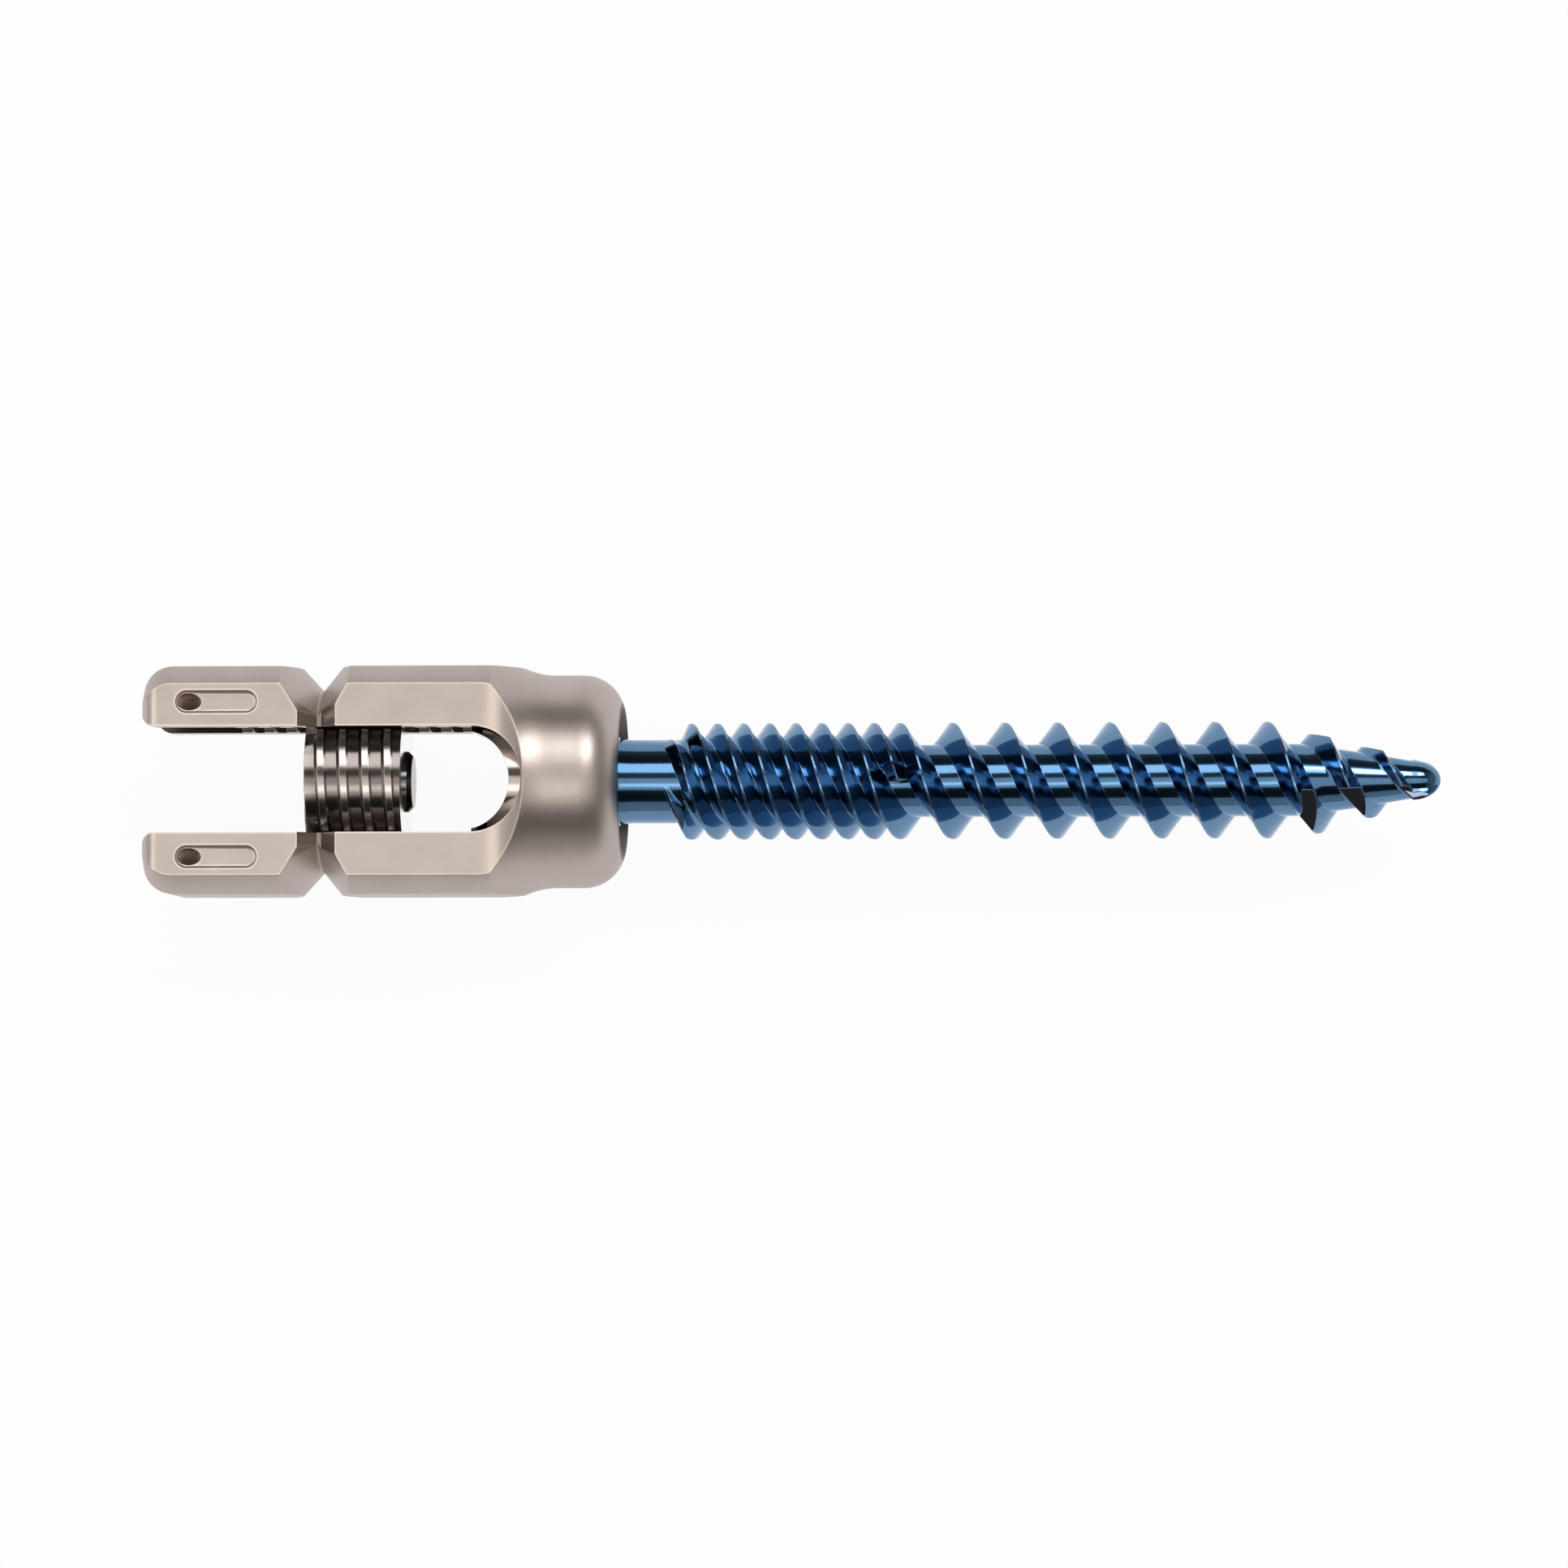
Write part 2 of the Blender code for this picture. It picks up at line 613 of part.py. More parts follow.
def notch_outline():
    """V milled across the pads in line with the turned groove."""
    bottom = pad_half_width - NOTCH_DEPTH
    reach = (outside - bottom) / NOTCH_DEPTH
    top = groove_height + GROOVE_BOTTOM_WIDTH / 2
    base = top - NOTCH_BOTTOM_WIDTH
    top_end = top + (groove_height + NOTCH_ABOVE_GROOVE - top) * reach
    base_end = base - (base - groove_height + NOTCH_BELOW_GROOVE) * reach
    return [(bottom, base), (outside, base_end), (outside, top_end), (bottom, top)]


def pocket_outline():
    """Oblong pocket in a tab, drawn as (across, height)."""
    top = tab_end_height - POCKET_FROM_END - POCKET_WIDTH / 2
    bottom = tab_end_height - POCKET_FROM_END - POCKET_LENGTH + POCKET_WIDTH / 2
    return arc((0, top), POCKET_WIDTH / 2, 0, 180, 8) + arc((0, bottom), POCKET_WIDTH / 2, 180, 360, 8)


def tulip():
    """Head, arms and reduction tabs as one turned and milled piece."""
    obj = turned("tulip_head", tulip_profile(), HEAD_SIDES)
    for number, degrees in enumerate((0, 180)):
        about = Matrix.Rotation(math.radians(degrees), 4, "Z")
        cut(obj, outline_cutter(f"side_flat_{number}", side_outline(), outside, about @ ALONG_ROD))
        cut(obj, outline_cutter(f"pad_{number}", pad_outline(), outside, about @ ACROSS_ARMS))
    cut(obj, outline_cutter("slot", slot_outline(), outside, ALONG_ROD))
    hole_reach = HOOK_HOLE_DIAMETER / 2 / math.sin(HOOK_HOLE_LEAN)
    for number, degrees in enumerate((0, 180)):
        about = Matrix.Rotation(math.radians(degrees), 4, "Z")
        cut(obj, outline_cutter(f"notch_{number}", notch_outline(), outside, about @ ACROSS_ARMS))
        for arm in (1, -1):
            across = arm * (slot_half_width + POCKET_FROM_SLOT)
            place = Matrix.Translation((pad_half_width, across, 0.0))
            pocket = outline_cutter(
                f"pocket_{number}_{arm}", pocket_outline(), POCKET_DEPTH, about @ place @ ALONG_ROD
            )
            cut(obj, pocket)
            hole_height = tab_end_height - POCKET_FROM_END + hole_reach
            hole_place = Matrix.Translation((pad_half_width - POCKET_DEPTH, across, hole_height))
            lean = Matrix.Rotation(HOOK_HOLE_LEAN, 4, "Y")
            hole = cylinder_cutter(
                f"hook_hole_{number}_{arm}",
                HOOK_HOLE_DIAMETER / 2,
                2 * HOOK_HOLE_DEPTH,
                HOLE_SIDES,
                about @ hole_place @ lean,
            )
            cut(obj, hole)
    shade_round(obj, 30.0)
    return obj


set_screw_envelope = [
    (0.0, set_screw_radius - SET_SCREW_CHAMFER),
    (SET_SCREW_CHAMFER, set_screw_radius),
    (SET_SCREW_LENGTH - SET_SCREW_CHAMFER, set_screw_radius),
    (SET_SCREW_LENGTH, set_screw_radius - SET_SCREW_CHAMFER),
]


def set_screw_thread_radius(angle, height):
    """One start with flat crests and roots, under the chamfer at each end."""
    from_crest = (height - SET_SCREW_PITCH * angle / math.tau) % SET_SCREW_PITCH
    distance = min(from_crest, SET_SCREW_PITCH - from_crest)
    share = ramp(distance, SET_SCREW_CREST_WIDTH / 2, SET_SCREW_CREST_WIDTH / 2 + SET_SCREW_FLANK_WIDTH)
    radius = set_screw_radius - SET_SCREW_THREAD_DEPTH * share
    return min(radius, read_profile(set_screw_envelope, height))


def set_screw():
    """Locking screw: threaded plug with a driver socket and a small boss that bears on the rod."""
    half_crest = SET_SCREW_CREST_WIDTH / 2
    flank_end = half_crest + SET_SCREW_FLANK_WIDTH
    stations = [half_crest, flank_end, SET_SCREW_PITCH - flank_end, SET_SCREW_PITCH - half_crest]
    end_radius = set_screw_radius - SET_SCREW_CHAMFER - SET_SCREW_END_STEP
    bottom = [
        (-BOSS_HEIGHT, BOSS_RADIUS - BOSS_CHAMFER),
        (-BOSS_HEIGHT + BOSS_CHAMFER, BOSS_RADIUS),
        (0.0, BOSS_RADIUS),
        (0.0, end_radius),
    ]
    top = [(SET_SCREW_LENGTH, end_radius)]
    obj = thread_loft(
        "set_screw", SET_SCREW_SIDES, SET_SCREW_PITCH, stations, 0.0, set_screw_thread_radius, bottom, top
    )
    cut(obj, drive_cutter("set_screw_drive", SET_SCREW_LENGTH, SET_SCREW_DRIVE_DEPTH))
    shade_round(obj)
    return obj


def lowest_point(obj):
    evaluated = obj.evaluated_get(bpy.context.evaluated_depsgraph_get())
    mesh = evaluated.to_mesh()
    lowest = min((evaluated.matrix_world @ v.co).z for v in mesh.vertices)
    evaluated.to_mesh_clear()
    return lowest


def assemble():
    """Lays the upright pieces down, with the ball's centre placed so that the screw is centred on X."""
    frame = bpy.data.objects.new("screw_frame", None)
    frame.empty_display_size = 5 * MM
    parts.objects.link(frame)
    pieces = {
        "bone_screw": (bone_screw(), 0.0, metal("blue_anodised_titanium", (0.03, 0.12, 0.42), 0.2)),
        "split_ring": (split_ring(), 0.0, metal("bright_titanium", (0.55, 0.53, 0.5), 0.3)),
        "pressure_saddle": (saddle(), 0.0, metal("polished_titanium", (0.5, 0.48, 0.46), 0.22)),
        "tulip_head": (tulip(), 0.0, metal("blasted_titanium", (0.42, 0.37, 0.34), 0.48)),
        "set_screw": (set_screw(), set_screw_base_height, metal("turned_titanium", (0.33, 0.31, 0.3), 0.28)),
    }
    for obj, height, material in pieces.values():
        obj.data.materials.append(material)
        obj.parent = frame
        obj.location = (0.0, 0.0, height)
    for cutter in cutters.objects:
        cutter.parent = frame
        if cutter.name == "set_screw_drive":
            cutter.matrix_local = Matrix.Translation((0, 0, set_screw_base_height)) @ cutter.matrix_local
    frame.rotation_euler = (0.0, math.radians(-90), 0.0)
    frame.location = ((tab_end_height - SHANK_REACH) / 2, 0.0, 0.0)
    bpy.context.view_layer.update()
    frame.location.z = -min(lowest_point(obj) for obj, _, _ in pieces.values())
    bpy.context.view_layer.update()


assemble()
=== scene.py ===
"""Looks of the long-arm polyaxial pedicle screw, laid over the solids that the frame loads.

The screw's axis runs along X with the tip at +X, and the rod's place runs along Z through the slot between
the arms. Every height below is counted in millimetres from the centre of the ball towards the tabs.
"""

import json
import math

import bpy
import numpy as np
from mathutils import Matrix, Vector


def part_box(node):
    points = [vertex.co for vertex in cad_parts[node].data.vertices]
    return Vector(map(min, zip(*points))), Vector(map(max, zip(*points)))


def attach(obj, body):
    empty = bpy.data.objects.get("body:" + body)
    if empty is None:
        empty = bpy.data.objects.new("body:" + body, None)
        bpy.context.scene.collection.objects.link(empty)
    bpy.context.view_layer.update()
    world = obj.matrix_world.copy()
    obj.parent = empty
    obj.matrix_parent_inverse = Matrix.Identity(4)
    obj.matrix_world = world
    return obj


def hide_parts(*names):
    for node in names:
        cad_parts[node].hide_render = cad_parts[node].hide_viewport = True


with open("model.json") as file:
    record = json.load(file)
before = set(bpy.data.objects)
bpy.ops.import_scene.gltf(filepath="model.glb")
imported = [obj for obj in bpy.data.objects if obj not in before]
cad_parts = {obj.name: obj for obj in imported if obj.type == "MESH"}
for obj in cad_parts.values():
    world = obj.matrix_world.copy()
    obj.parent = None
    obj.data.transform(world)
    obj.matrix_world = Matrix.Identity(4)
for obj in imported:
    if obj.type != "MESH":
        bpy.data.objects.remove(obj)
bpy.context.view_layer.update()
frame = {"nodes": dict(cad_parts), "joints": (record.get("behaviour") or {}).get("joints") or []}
bpy.ops.object.select_all(action="DESELECT")

# Tulip head: the U-slotted head with its two arms and the long tabs that snap off at the groove. It is
# turned and milled from one bar of titanium alloy and bead-blasted to a warm grey satin. The threads are
# tapped through both arms together, after the slot is milled.

mm = 0.001
ball = Vector(next(joint for joint in frame["joints"] if joint["name"] == "head_tilt")["pos_m"])
head_low, head_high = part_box("tulip_head")
tab_end = (ball.x - head_low.x) / mm
head_bottom = (ball.x - head_high.x) / mm
side_half = head_high.y / mm
pad_half = 4.9
blank_radius = 7.25
waist_radius = 5.95
bore_radius = 3.963
ring_groove_radius = 4.35
ring_shelf = -1.56
opening_radius = 3.85
groove_at = tab_end - 9.78
groove_radius = side_half - 1.23
slot_half = 2.95
slot_floor = 2.292
rod_pitch = 1.25
head_sides = 192
blasted_color = (0.50, 0.435, 0.395)
milled_color = (0.55, 0.485, 0.435)
# Darker colour for the slot's walls, the bore and the tapped thread: painted shade.
inner_shade_color = (0.34, 0.30, 0.275)


def at(height, across=0.0, up=0.0):
    """Place at a height along the screw, a distance across the arms and one up the rod's direction."""
    return Vector((ball.x - height * mm, ball.y + across * mm, ball.z + up * mm))


def finish_mesh(obj, name, sharp_angle=30.0):
    """Puts the piece's place in its mesh, turns its faces outwards and smooths what isn't an edge."""
    if bpy.context.mode != "OBJECT":
        bpy.ops.object.mode_set(mode="OBJECT")
    bpy.ops.object.select_all(action="DESELECT")
    obj.select_set(True)
    bpy.context.view_layer.objects.active = obj
    bpy.ops.object.transform_apply(location=True, rotation=True, scale=True)
    bpy.ops.object.mode_set(mode="EDIT")
    bpy.ops.mesh.select_all(action="SELECT")
    bpy.ops.mesh.remove_doubles(threshold=0.0005 * mm)
    bpy.ops.mesh.normals_make_consistent(inside=False)
    bpy.ops.object.mode_set(mode="OBJECT")
    bpy.ops.object.shade_smooth_by_angle(angle=math.radians(sharp_angle))
    obj.name = name
    obj.data.name = name


def draw_out(profile, height, radius):
    """Extrudes the selected loop through (height, radius) points, resizing it about the axis each time."""
    for new_height, new_radius in profile:
        bpy.ops.mesh.extrude_region_move(
            TRANSFORM_OT_translate={"value": ((height - new_height) * mm, 0.0, 0.0)}
        )
        share = new_radius / radius
        bpy.ops.transform.resize(value=(1.0, share, share), center_override=at(new_height))
        height, radius = new_height, new_radius


def turned_ring(profile, sides):
    """A closed ring of metal, drawn out of a circle along a (height, radius) profile."""
    height, radius = profile[0]
    bpy.ops.mesh.primitive_circle_add(
        vertices=sides, radius=radius * mm, location=at(height), rotation=(0.0, math.pi / 2, 0.0)
    )
    bpy.ops.object.mode_set(mode="EDIT")
    draw_out(profile[1:], height, radius)
    bpy.ops.mesh.select_all(action="DESELECT")
    bpy.ops.mesh.select_mode(type="EDGE")
    bpy.ops.mesh.select_non_manifold()
    bpy.ops.mesh.bridge_edge_loops()
    bpy.ops.object.mode_set(mode="OBJECT")
    finish_mesh(bpy.context.object, "ring")
    return bpy.context.object


def arc(height, radius, size, start, end, steps):
    """(height, radius) points on an arc, where 0 degrees points outwards and 90 towards the tabs."""
    angles = [math.radians(start + (end - start) * i / steps) for i in range(steps + 1)]
    return [(height + size * math.sin(a), radius + size * math.cos(a)) for a in angles]


def outline_cutter(places, along, finish):
    """A cutter with a flat outline, drawn out straight, that leaves its finish on what it cuts."""
    edges = [(i, (i + 1) % len(places)) for i in range(len(places))]
    mesh = bpy.data.meshes.new("outline")
    mesh.from_pydata([tuple(place) for place in places], edges, [])
    obj = bpy.data.objects.new("outline", mesh)
    bpy.context.scene.collection.objects.link(obj)
    bpy.ops.object.select_all(action="DESELECT")
    obj.select_set(True)
    bpy.context.view_layer.objects.active = obj
    bpy.ops.object.mode_set(mode="EDIT")
    bpy.ops.mesh.select_all(action="SELECT")
    bpy.ops.mesh.edge_face_add()
    bpy.ops.mesh.extrude_region_move(TRANSFORM_OT_translate={"value": along})
    finish_mesh(obj, "outline")
    obj.data.materials.append(finish)
    return obj


def cut(piece, cutter):
    """Machines a cutter's shape out of the piece. The faces it leaves take the cutter's finish."""
    boolean = piece.modifiers.new("cut", "BOOLEAN")
    boolean.operation = "DIFFERENCE"
    boolean.solver = "EXACT"
    boolean.object = cutter
    boolean.material_mode = "TRANSFER"
    bpy.context.view_layer.objects.active = piece
    bpy.ops.object.modifier_apply(modifier=boolean.name)
    bpy.data.objects.remove(cutter, do_unlink=True)


def threaded_tube(low, high, lead, stations, sides, radius_at):
    """An open tube whose rows of points climb one lead per turn, so that crests run along its edges."""
    first = math.floor(low / lead) - 2
    last = math.ceil(high / lead) + 1
    starts = np.array([turn * lead + s for turn in range(first, last) for s in sorted(stations)])
    angles = np.linspace(0.0, math.tau, sides, endpoint=False)
    heights = starts[:, None] + lead * angles[None, :] / math.tau
    snap = 0.02
    heights = np.where(heights < low + snap, low, np.where(heights > high - snap, high, heights))
    radii = radius_at(np.broadcast_to(angles, heights.shape), heights)
    places = np.stack(
        [
            ball.x - heights * mm,
            ball.y + radii * np.sin(angles) * mm,
            ball.z + radii * np.cos(angles) * mm,
        ],
        axis=-1,
    ).reshape(-1, 3)
    rows, per_lead = len(starts), len(stations)
    numbers = np.arange(rows * sides).reshape(rows, sides)
    wrapped = np.concatenate([numbers[: rows - per_lead], numbers[per_lead:, :1]], axis=1)
    corners = [wrapped[:-1, :-1], wrapped[:-1, 1:], wrapped[1:, 1:], wrapped[1:, :-1]]
    quads = np.stack(corners, axis=-1).reshape(-1, 4)
    inside = np.ptp(heights.reshape(-1)[quads], axis=1) > 1e-6
    mesh = bpy.data.meshes.new("tube")
    mesh.from_pydata(places.tolist(), [], quads[inside].tolist())
    obj = bpy.data.objects.new("tube", mesh)
    bpy.context.scene.collection.objects.link(obj)
    bpy.ops.object.select_all(action="DESELECT")
    obj.select_set(True)
    bpy.context.view_layer.objects.active = obj
    bpy.ops.object.mode_set(mode="EDIT")
    bpy.ops.mesh.select_all(action="SELECT")
    bpy.ops.mesh.remove_doubles(threshold=0.0005 * mm)
    bpy.ops.mesh.select_all(action="DESELECT")
    bpy.ops.mesh.select_mode(type="VERT")
    bpy.ops.object.mode_set(mode="OBJECT")
    return obj


def select_end(obj, height):
    """Goes into edit mode with the loop of points at one height selected."""
    bpy.ops.object.mode_set(mode="OBJECT")
    for vertex in obj.data.vertices:
        vertex.select = abs((ball.x - vertex.co.x) / mm - height) < 0.001
    bpy.ops.object.mode_set(mode="EDIT")


def add_nodes(material, **kinds):
    """Adds nodes by name and kind, and returns the tree and the nodes by name with the shader."""
    tree = material.node_tree
    made = {name: tree.nodes.new("ShaderNode" + kind) for name, kind in kinds.items()}
    made["shader"] = tree.nodes["Principled BSDF"]
    return tree, made


def titanium(
    name, color, roughness, grain, grain_size, edge, stretch=(1.0, 1.0, 1.0), edge_wear_and_highlight=1.15, rolled=True
):
    """Titanium with a fine grain, faint clouding, and edges made brighter in colour, partly wear and partly a
    painted highlight, with rounded shading or not.
    """
    material = bpy.data.materials.new(name)
    material.use_nodes = True
    tree, n = add_nodes(
        material,
        place="TexCoord",
        mapping="Mapping",
        grain="TexNoise",
        cloud="TexNoise",
        bump="Bump",
        round="Bevel",
        face="NewGeometry",
        facing="VectorMath",
        edge="MapRange",
        tone="Mix",
        rim="Mix",
        rough="MapRange",
        rough_edge="Mix",
    )
    link = tree.links.new
    shader = n["shader"]
    shader.inputs["Metallic"].default_value = 1.0
    shader.inputs["Specular Tint"].default_value = (0.93, 0.9, 0.93, 1.0)
    n["mapping"].inputs["Scale"].default_value = stretch
    link(n["place"].outputs["Object"], n["mapping"].inputs["Vector"])
    n["grain"].inputs["Scale"].default_value = 1.0 / (grain_size * mm)
    n["grain"].inputs["Detail"].default_value = 3.0
    n["grain"].inputs["Roughness"].default_value = 0.6
    link(n["mapping"].outputs["Vector"], n["grain"].inputs["Vector"])
    n["cloud"].inputs["Scale"].default_value = 450.0
    n["cloud"].inputs["Detail"].default_value = 4.0
    link(n["place"].outputs["Object"], n["cloud"].inputs["Vector"])
    n["round"].samples = 6
    n["round"].inputs["Radius"].default_value = edge * mm
    n["facing"].operation = "DOT_PRODUCT"
    link(n["round"].outputs["Normal"], n["facing"].inputs[0])
    link(n["face"].outputs["Normal"], n["facing"].inputs[1])
    n["edge"].inputs["From Min"].default_value = 0.995
    n["edge"].inputs["From Max"].default_value = 0.93
    link(n["facing"].outputs["Value"], n["edge"].inputs["Value"])
    n["bump"].inputs["Strength"].default_value = grain
    n["bump"].inputs["Distance"].default_value = 0.02 * mm
    link(n["grain"].outputs["Fac"], n["bump"].inputs["Height"])
    if rolled:
        link(n["round"].outputs["Normal"], n["bump"].inputs["Normal"])
    link(n["bump"].outputs["Normal"], shader.inputs["Normal"])
    n["tone"].data_type = "RGBA"
    n["tone"].inputs["A"].default_value = (*[c * 0.86 for c in color], 1.0)
    n["tone"].inputs["B"].default_value = (*[min(c * 1.1, 1.0) for c in color], 1.0)
    link(n["cloud"].outputs["Fac"], n["tone"].inputs["Factor"])
    # Painted highlight, partly wear: the base colour is brightened along the edges that the rounded normal
    # finds.
    n["rim"].data_type = "RGBA"
    n["rim"].inputs["B"].default_value = (*[min(c * edge_wear_and_highlight, 1.0) for c in color], 1.0)
    link(n["edge"].outputs["Result"], n["rim"].inputs["Factor"])
    link(n["tone"].outputs["Result"], n["rim"].inputs["A"])
    link(n["rim"].outputs["Result"], shader.inputs["Base Color"])
    n["rough"].inputs["To Min"].default_value = roughness * 0.85
    n["rough"].inputs["To Max"].default_value = roughness * 1.2
    link(n["grain"].outputs["Fac"], n["rough"].inputs["Value"])
    n["rough_edge"].inputs["B"].default_value = roughness * edge_wear_and_highlight
    link(n["edge"].outputs["Result"], n["rough_edge"].inputs["Factor"])
    link(n["rough"].outputs["Result"], n["rough_edge"].inputs["A"])
    link(n["rough_edge"].outputs["Result"], shader.inputs["Roughness"])
    return material


def shade_roots(material, root, crest, share):
    """Darkens the colour towards the root of a thread, where the light of the studio doesn't reach."""
    tree, n = add_nodes(
        material,
        place="TexCoord",
        arm="VectorMath",
        across="VectorMath",
        radius="VectorMath",
        depth="MapRange",
        dim="VectorMath",
    )
    color = n["shader"].inputs["Base Color"]
    n["arm"].operation = "SUBTRACT"
    n["arm"].inputs[1].default_value = ball
    n["across"].operation = "MULTIPLY"
    n["across"].inputs[1].default_value = (0.0, 1.0, 1.0)
    n["radius"].operation = "LENGTH"
    n["depth"].inputs["From Min"].default_value = root * mm
    n["depth"].inputs["From Max"].default_value = crest * mm
    n["depth"].inputs["To Min"].default_value = share
    n["dim"].operation = "SCALE"
    tree.links.new(n["place"].outputs["Object"], n["arm"].inputs[0])
    tree.links.new(n["arm"].outputs["Vector"], n["across"].inputs[0])
    tree.links.new(n["across"].outputs["Vector"], n["radius"].inputs[0])
    tree.links.new(n["radius"].outputs["Value"], n["depth"].inputs["Value"])
    tree.links.new(color.links[0].from_socket, n["dim"].inputs[0])
    tree.links.new(n["depth"].outputs["Result"], n["dim"].inputs["Scale"])
    tree.links.new(n["dim"].outputs["Vector"], color)


blasted = titanium("bead_blasted_titanium", blasted_color, 0.36, 0.35, 0.07, 0.13)
# The milled pads get edges 1.7 times brighter in colour while their shading stays sharp: a painted edge
# highlight.
milled = titanium("milled_pad", milled_color, 0.36, 0.25, 0.05, 0.22, (0.4, 1.0, 1.0), 1.7, False)
# The groove's bottom and the notch beside it get a darker colour: painted shade.
groove_shaded = titanium("groove_bottom_painted_shade", (0.30, 0.26, 0.235), 0.3, 0.2, 0.06, 0.04)
# The flare inside the bottom opening gets a near-black colour: painted shade.
flare_shaded = titanium("flare_under_head_painted_shade", (0.13, 0.105, 0.09), 0.4, 0.2, 0.06, 0.04)
# The slot's walls, the bore and the tapped thread take the darker colour: painted shade.
inner_wall_shaded = titanium("inner_wall_painted_shade", inner_shade_color, 0.26, 0.2, 0.06, 0.05, (1.0, 0.15, 1.0))
tapped = titanium("tapped_thread", inner_shade_color, 0.2, 0.12, 0.06, 0.04)
shade_roots(tapped, 4.383, 4.0, 0.35)

tab_round = 1.6
groove_rise = blank_radius - groove_radius
shoulder_top = slot_floor + 1.8
shoulder_length = 3.3
shoulder_steps = 20
bottom_round = 2.27
bottom_angle = 75.0
bottom_center = head_bottom + bottom_round * math.sin(math.radians(bottom_angle))
head_profile = [(tab_end, 4.483)]
head_profile += arc(tab_end - tab_round, blank_radius - tab_round, tab_round, 90, 0, 16)
head_profile += [
    (groove_at + groove_rise / 1.06, blank_radius),
    (groove_at + 0.05, groove_radius),
    (groove_at - 0.05, groove_radius),
    (groove_at - groove_rise / 1.2, blank_radius),
]
for step in range(shoulder_steps + 1):
    share = step / shoulder_steps
    drop = (blank_radius - waist_radius) * (1 - (1 - share) ** 1.9)
    head_profile.append((shoulder_top - shoulder_length * share, blank_radius - drop))
head_profile += arc(bottom_center, waist_radius - bottom_round, bottom_round, 0, -bottom_angle, 20)
rim_radius = head_profile[-1][1]
head_profile += [
    (head_bottom, rim_radius - 0.1),
    (head_bottom + 0.7, opening_radius),
    (ring_shelf, opening_radius),
    (ring_shelf, ring_groove_radius),
    (-0.15, ring_groove_radius),
    (-0.15, bore_radius),
    (tab_end - 0.5, bore_radius),
]
tulip = turned_ring(head_profile, head_sides)
tulip.data.materials.append(blasted)

far = blank_radius + 1.0
above = tab_end + 1.0
through = Vector((0.0, 0.0, 2 * far * mm))
side_round = 1.7
for side in (-1, 1):
    edge = arc(tab_end - side_round, side_half - side_round, side_round, 90, 0, 16)
    edge.insert(0, (above, side_half - side_round))
    edge += [(head_bottom - 1, side_half), (head_bottom - 1, far), (above, far)]
    cut(tulip, outline_cutter([at(height, side * y, -far) for height, y in edge], through, blasted))

across_arms = Vector((0.0, 2 * far * mm, 0.0))
pad_end = slot_floor + 2.54
sweep_radius = 3.33
pad_round = 1.0
for side in (-1, 1):
    edge = arc(tab_end - pad_round, pad_half - pad_round, pad_round, 90, 0, 12)
    edge += arc(pad_end, pad_half + sweep_radius, sweep_radius, 180, 270, 40)
    edge = [(above, pad_half - pad_round)] + edge + [(above, pad_half + sweep_radius)]
    cut(tulip, outline_cutter([at(height, -far, side * z) for height, z in edge], across_arms, milled))

slot_centre = slot_floor + slot_half
mouth_round = 0.75
mouth = slot_half + mouth_round
edge = arc(slot_centre, 0.0, slot_half, -180, 0, 64)
corner = arc(tab_end - mouth_round, mouth, mouth_round, 180, 90, 12)
edge += corner + [(above, mouth), (above, -mouth)] + [(height, -y) for height, y in reversed(corner)]
cut(tulip, outline_cutter([at(height, y, -far) for height, y in edge], through, inner_wall_shaded))

notch_depth = 1.2
notch_floor = pad_half - notch_depth
notch_reach = (far - notch_floor) / notch_depth
notch_low = groove_at - 0.2
notch_high = groove_at + 0.05
notch = [
    (notch_low, notch_floor),
    (notch_low - 0.9 * notch_reach, far),
    (notch_high + 0.97 * notch_reach, far),
    (notch_high, notch_floor),
]
for side in (-1, 1):
    cut(tulip, outline_cutter([at(height, -far, side * z) for height, z in notch], across_arms, groove_shaded))

pocket_half = 0.635
pocket_length = 4.58
pocket_depth = 0.4
pocket_across = slot_half + 1.36
pocket_top = tab_end - 1.95
pocket_fillet = 0.22
hole_radius = 0.48
hole_lean = math.radians(48)
hole_at = pocket_top - hole_radius / math.cos(hole_lean)
for side in (-1, 1):
    for arm in (-1, 1):
        across = arm * pocket_across
        edge = arc(pocket_top - pocket_half, 0.0, pocket_half, 0, 180, 24)
        edge += arc(pocket_top - pocket_length + pocket_half, 0.0, pocket_half, 180, 360, 24)
        places = [at(height, across + y, side * (pad_half - pocket_depth)) for height, y in edge]
        pocket = outline_cutter(places, Vector((0.0, 0.0, side * mm)), milled)
        bpy.ops.object.mode_set(mode="EDIT")
        bpy.ops.mesh.select_all(action="DESELECT")
        bpy.ops.mesh.select_mode(type="VERT")
        bpy.ops.object.mode_set(mode="OBJECT")
        for vertex in pocket.data.vertices:
            vertex.select = abs(vertex.co.z - places[0].z) < 0.01 * mm
        bpy.ops.object.mode_set(mode="EDIT")
        bpy.ops.mesh.select_mode(type="EDGE")
        bpy.ops.mesh.bevel(offset=pocket_fillet * mm, segments=5, affect="EDGES")
        bpy.ops.object.mode_set(mode="OBJECT")
        cut(tulip, pocket)
        bpy.ops.mesh.primitive_cylinder_add(
            vertices=40,
            radius=hole_radius * mm,
            depth=2.4 * mm,
            location=at(hole_at, across, side * (pad_half - pocket_depth)),
            rotation=(0.0, side * hole_lean, 0.0),
        )
        hole = bpy.context.object
        hole.data.materials.append(milled)
        cut(tulip, hole)

screw_base = 9.2323
screw_radius = 4.303
thread_depth = 0.42
crest_half = 0.19
loaded_flank = 0.06
free_flank = 0.19
first_crest_at = screw_base + 0.615
entry_end = 19.3
entry_run_out = 0.6
tap_gap = 0.04
bore_shown = 4.37


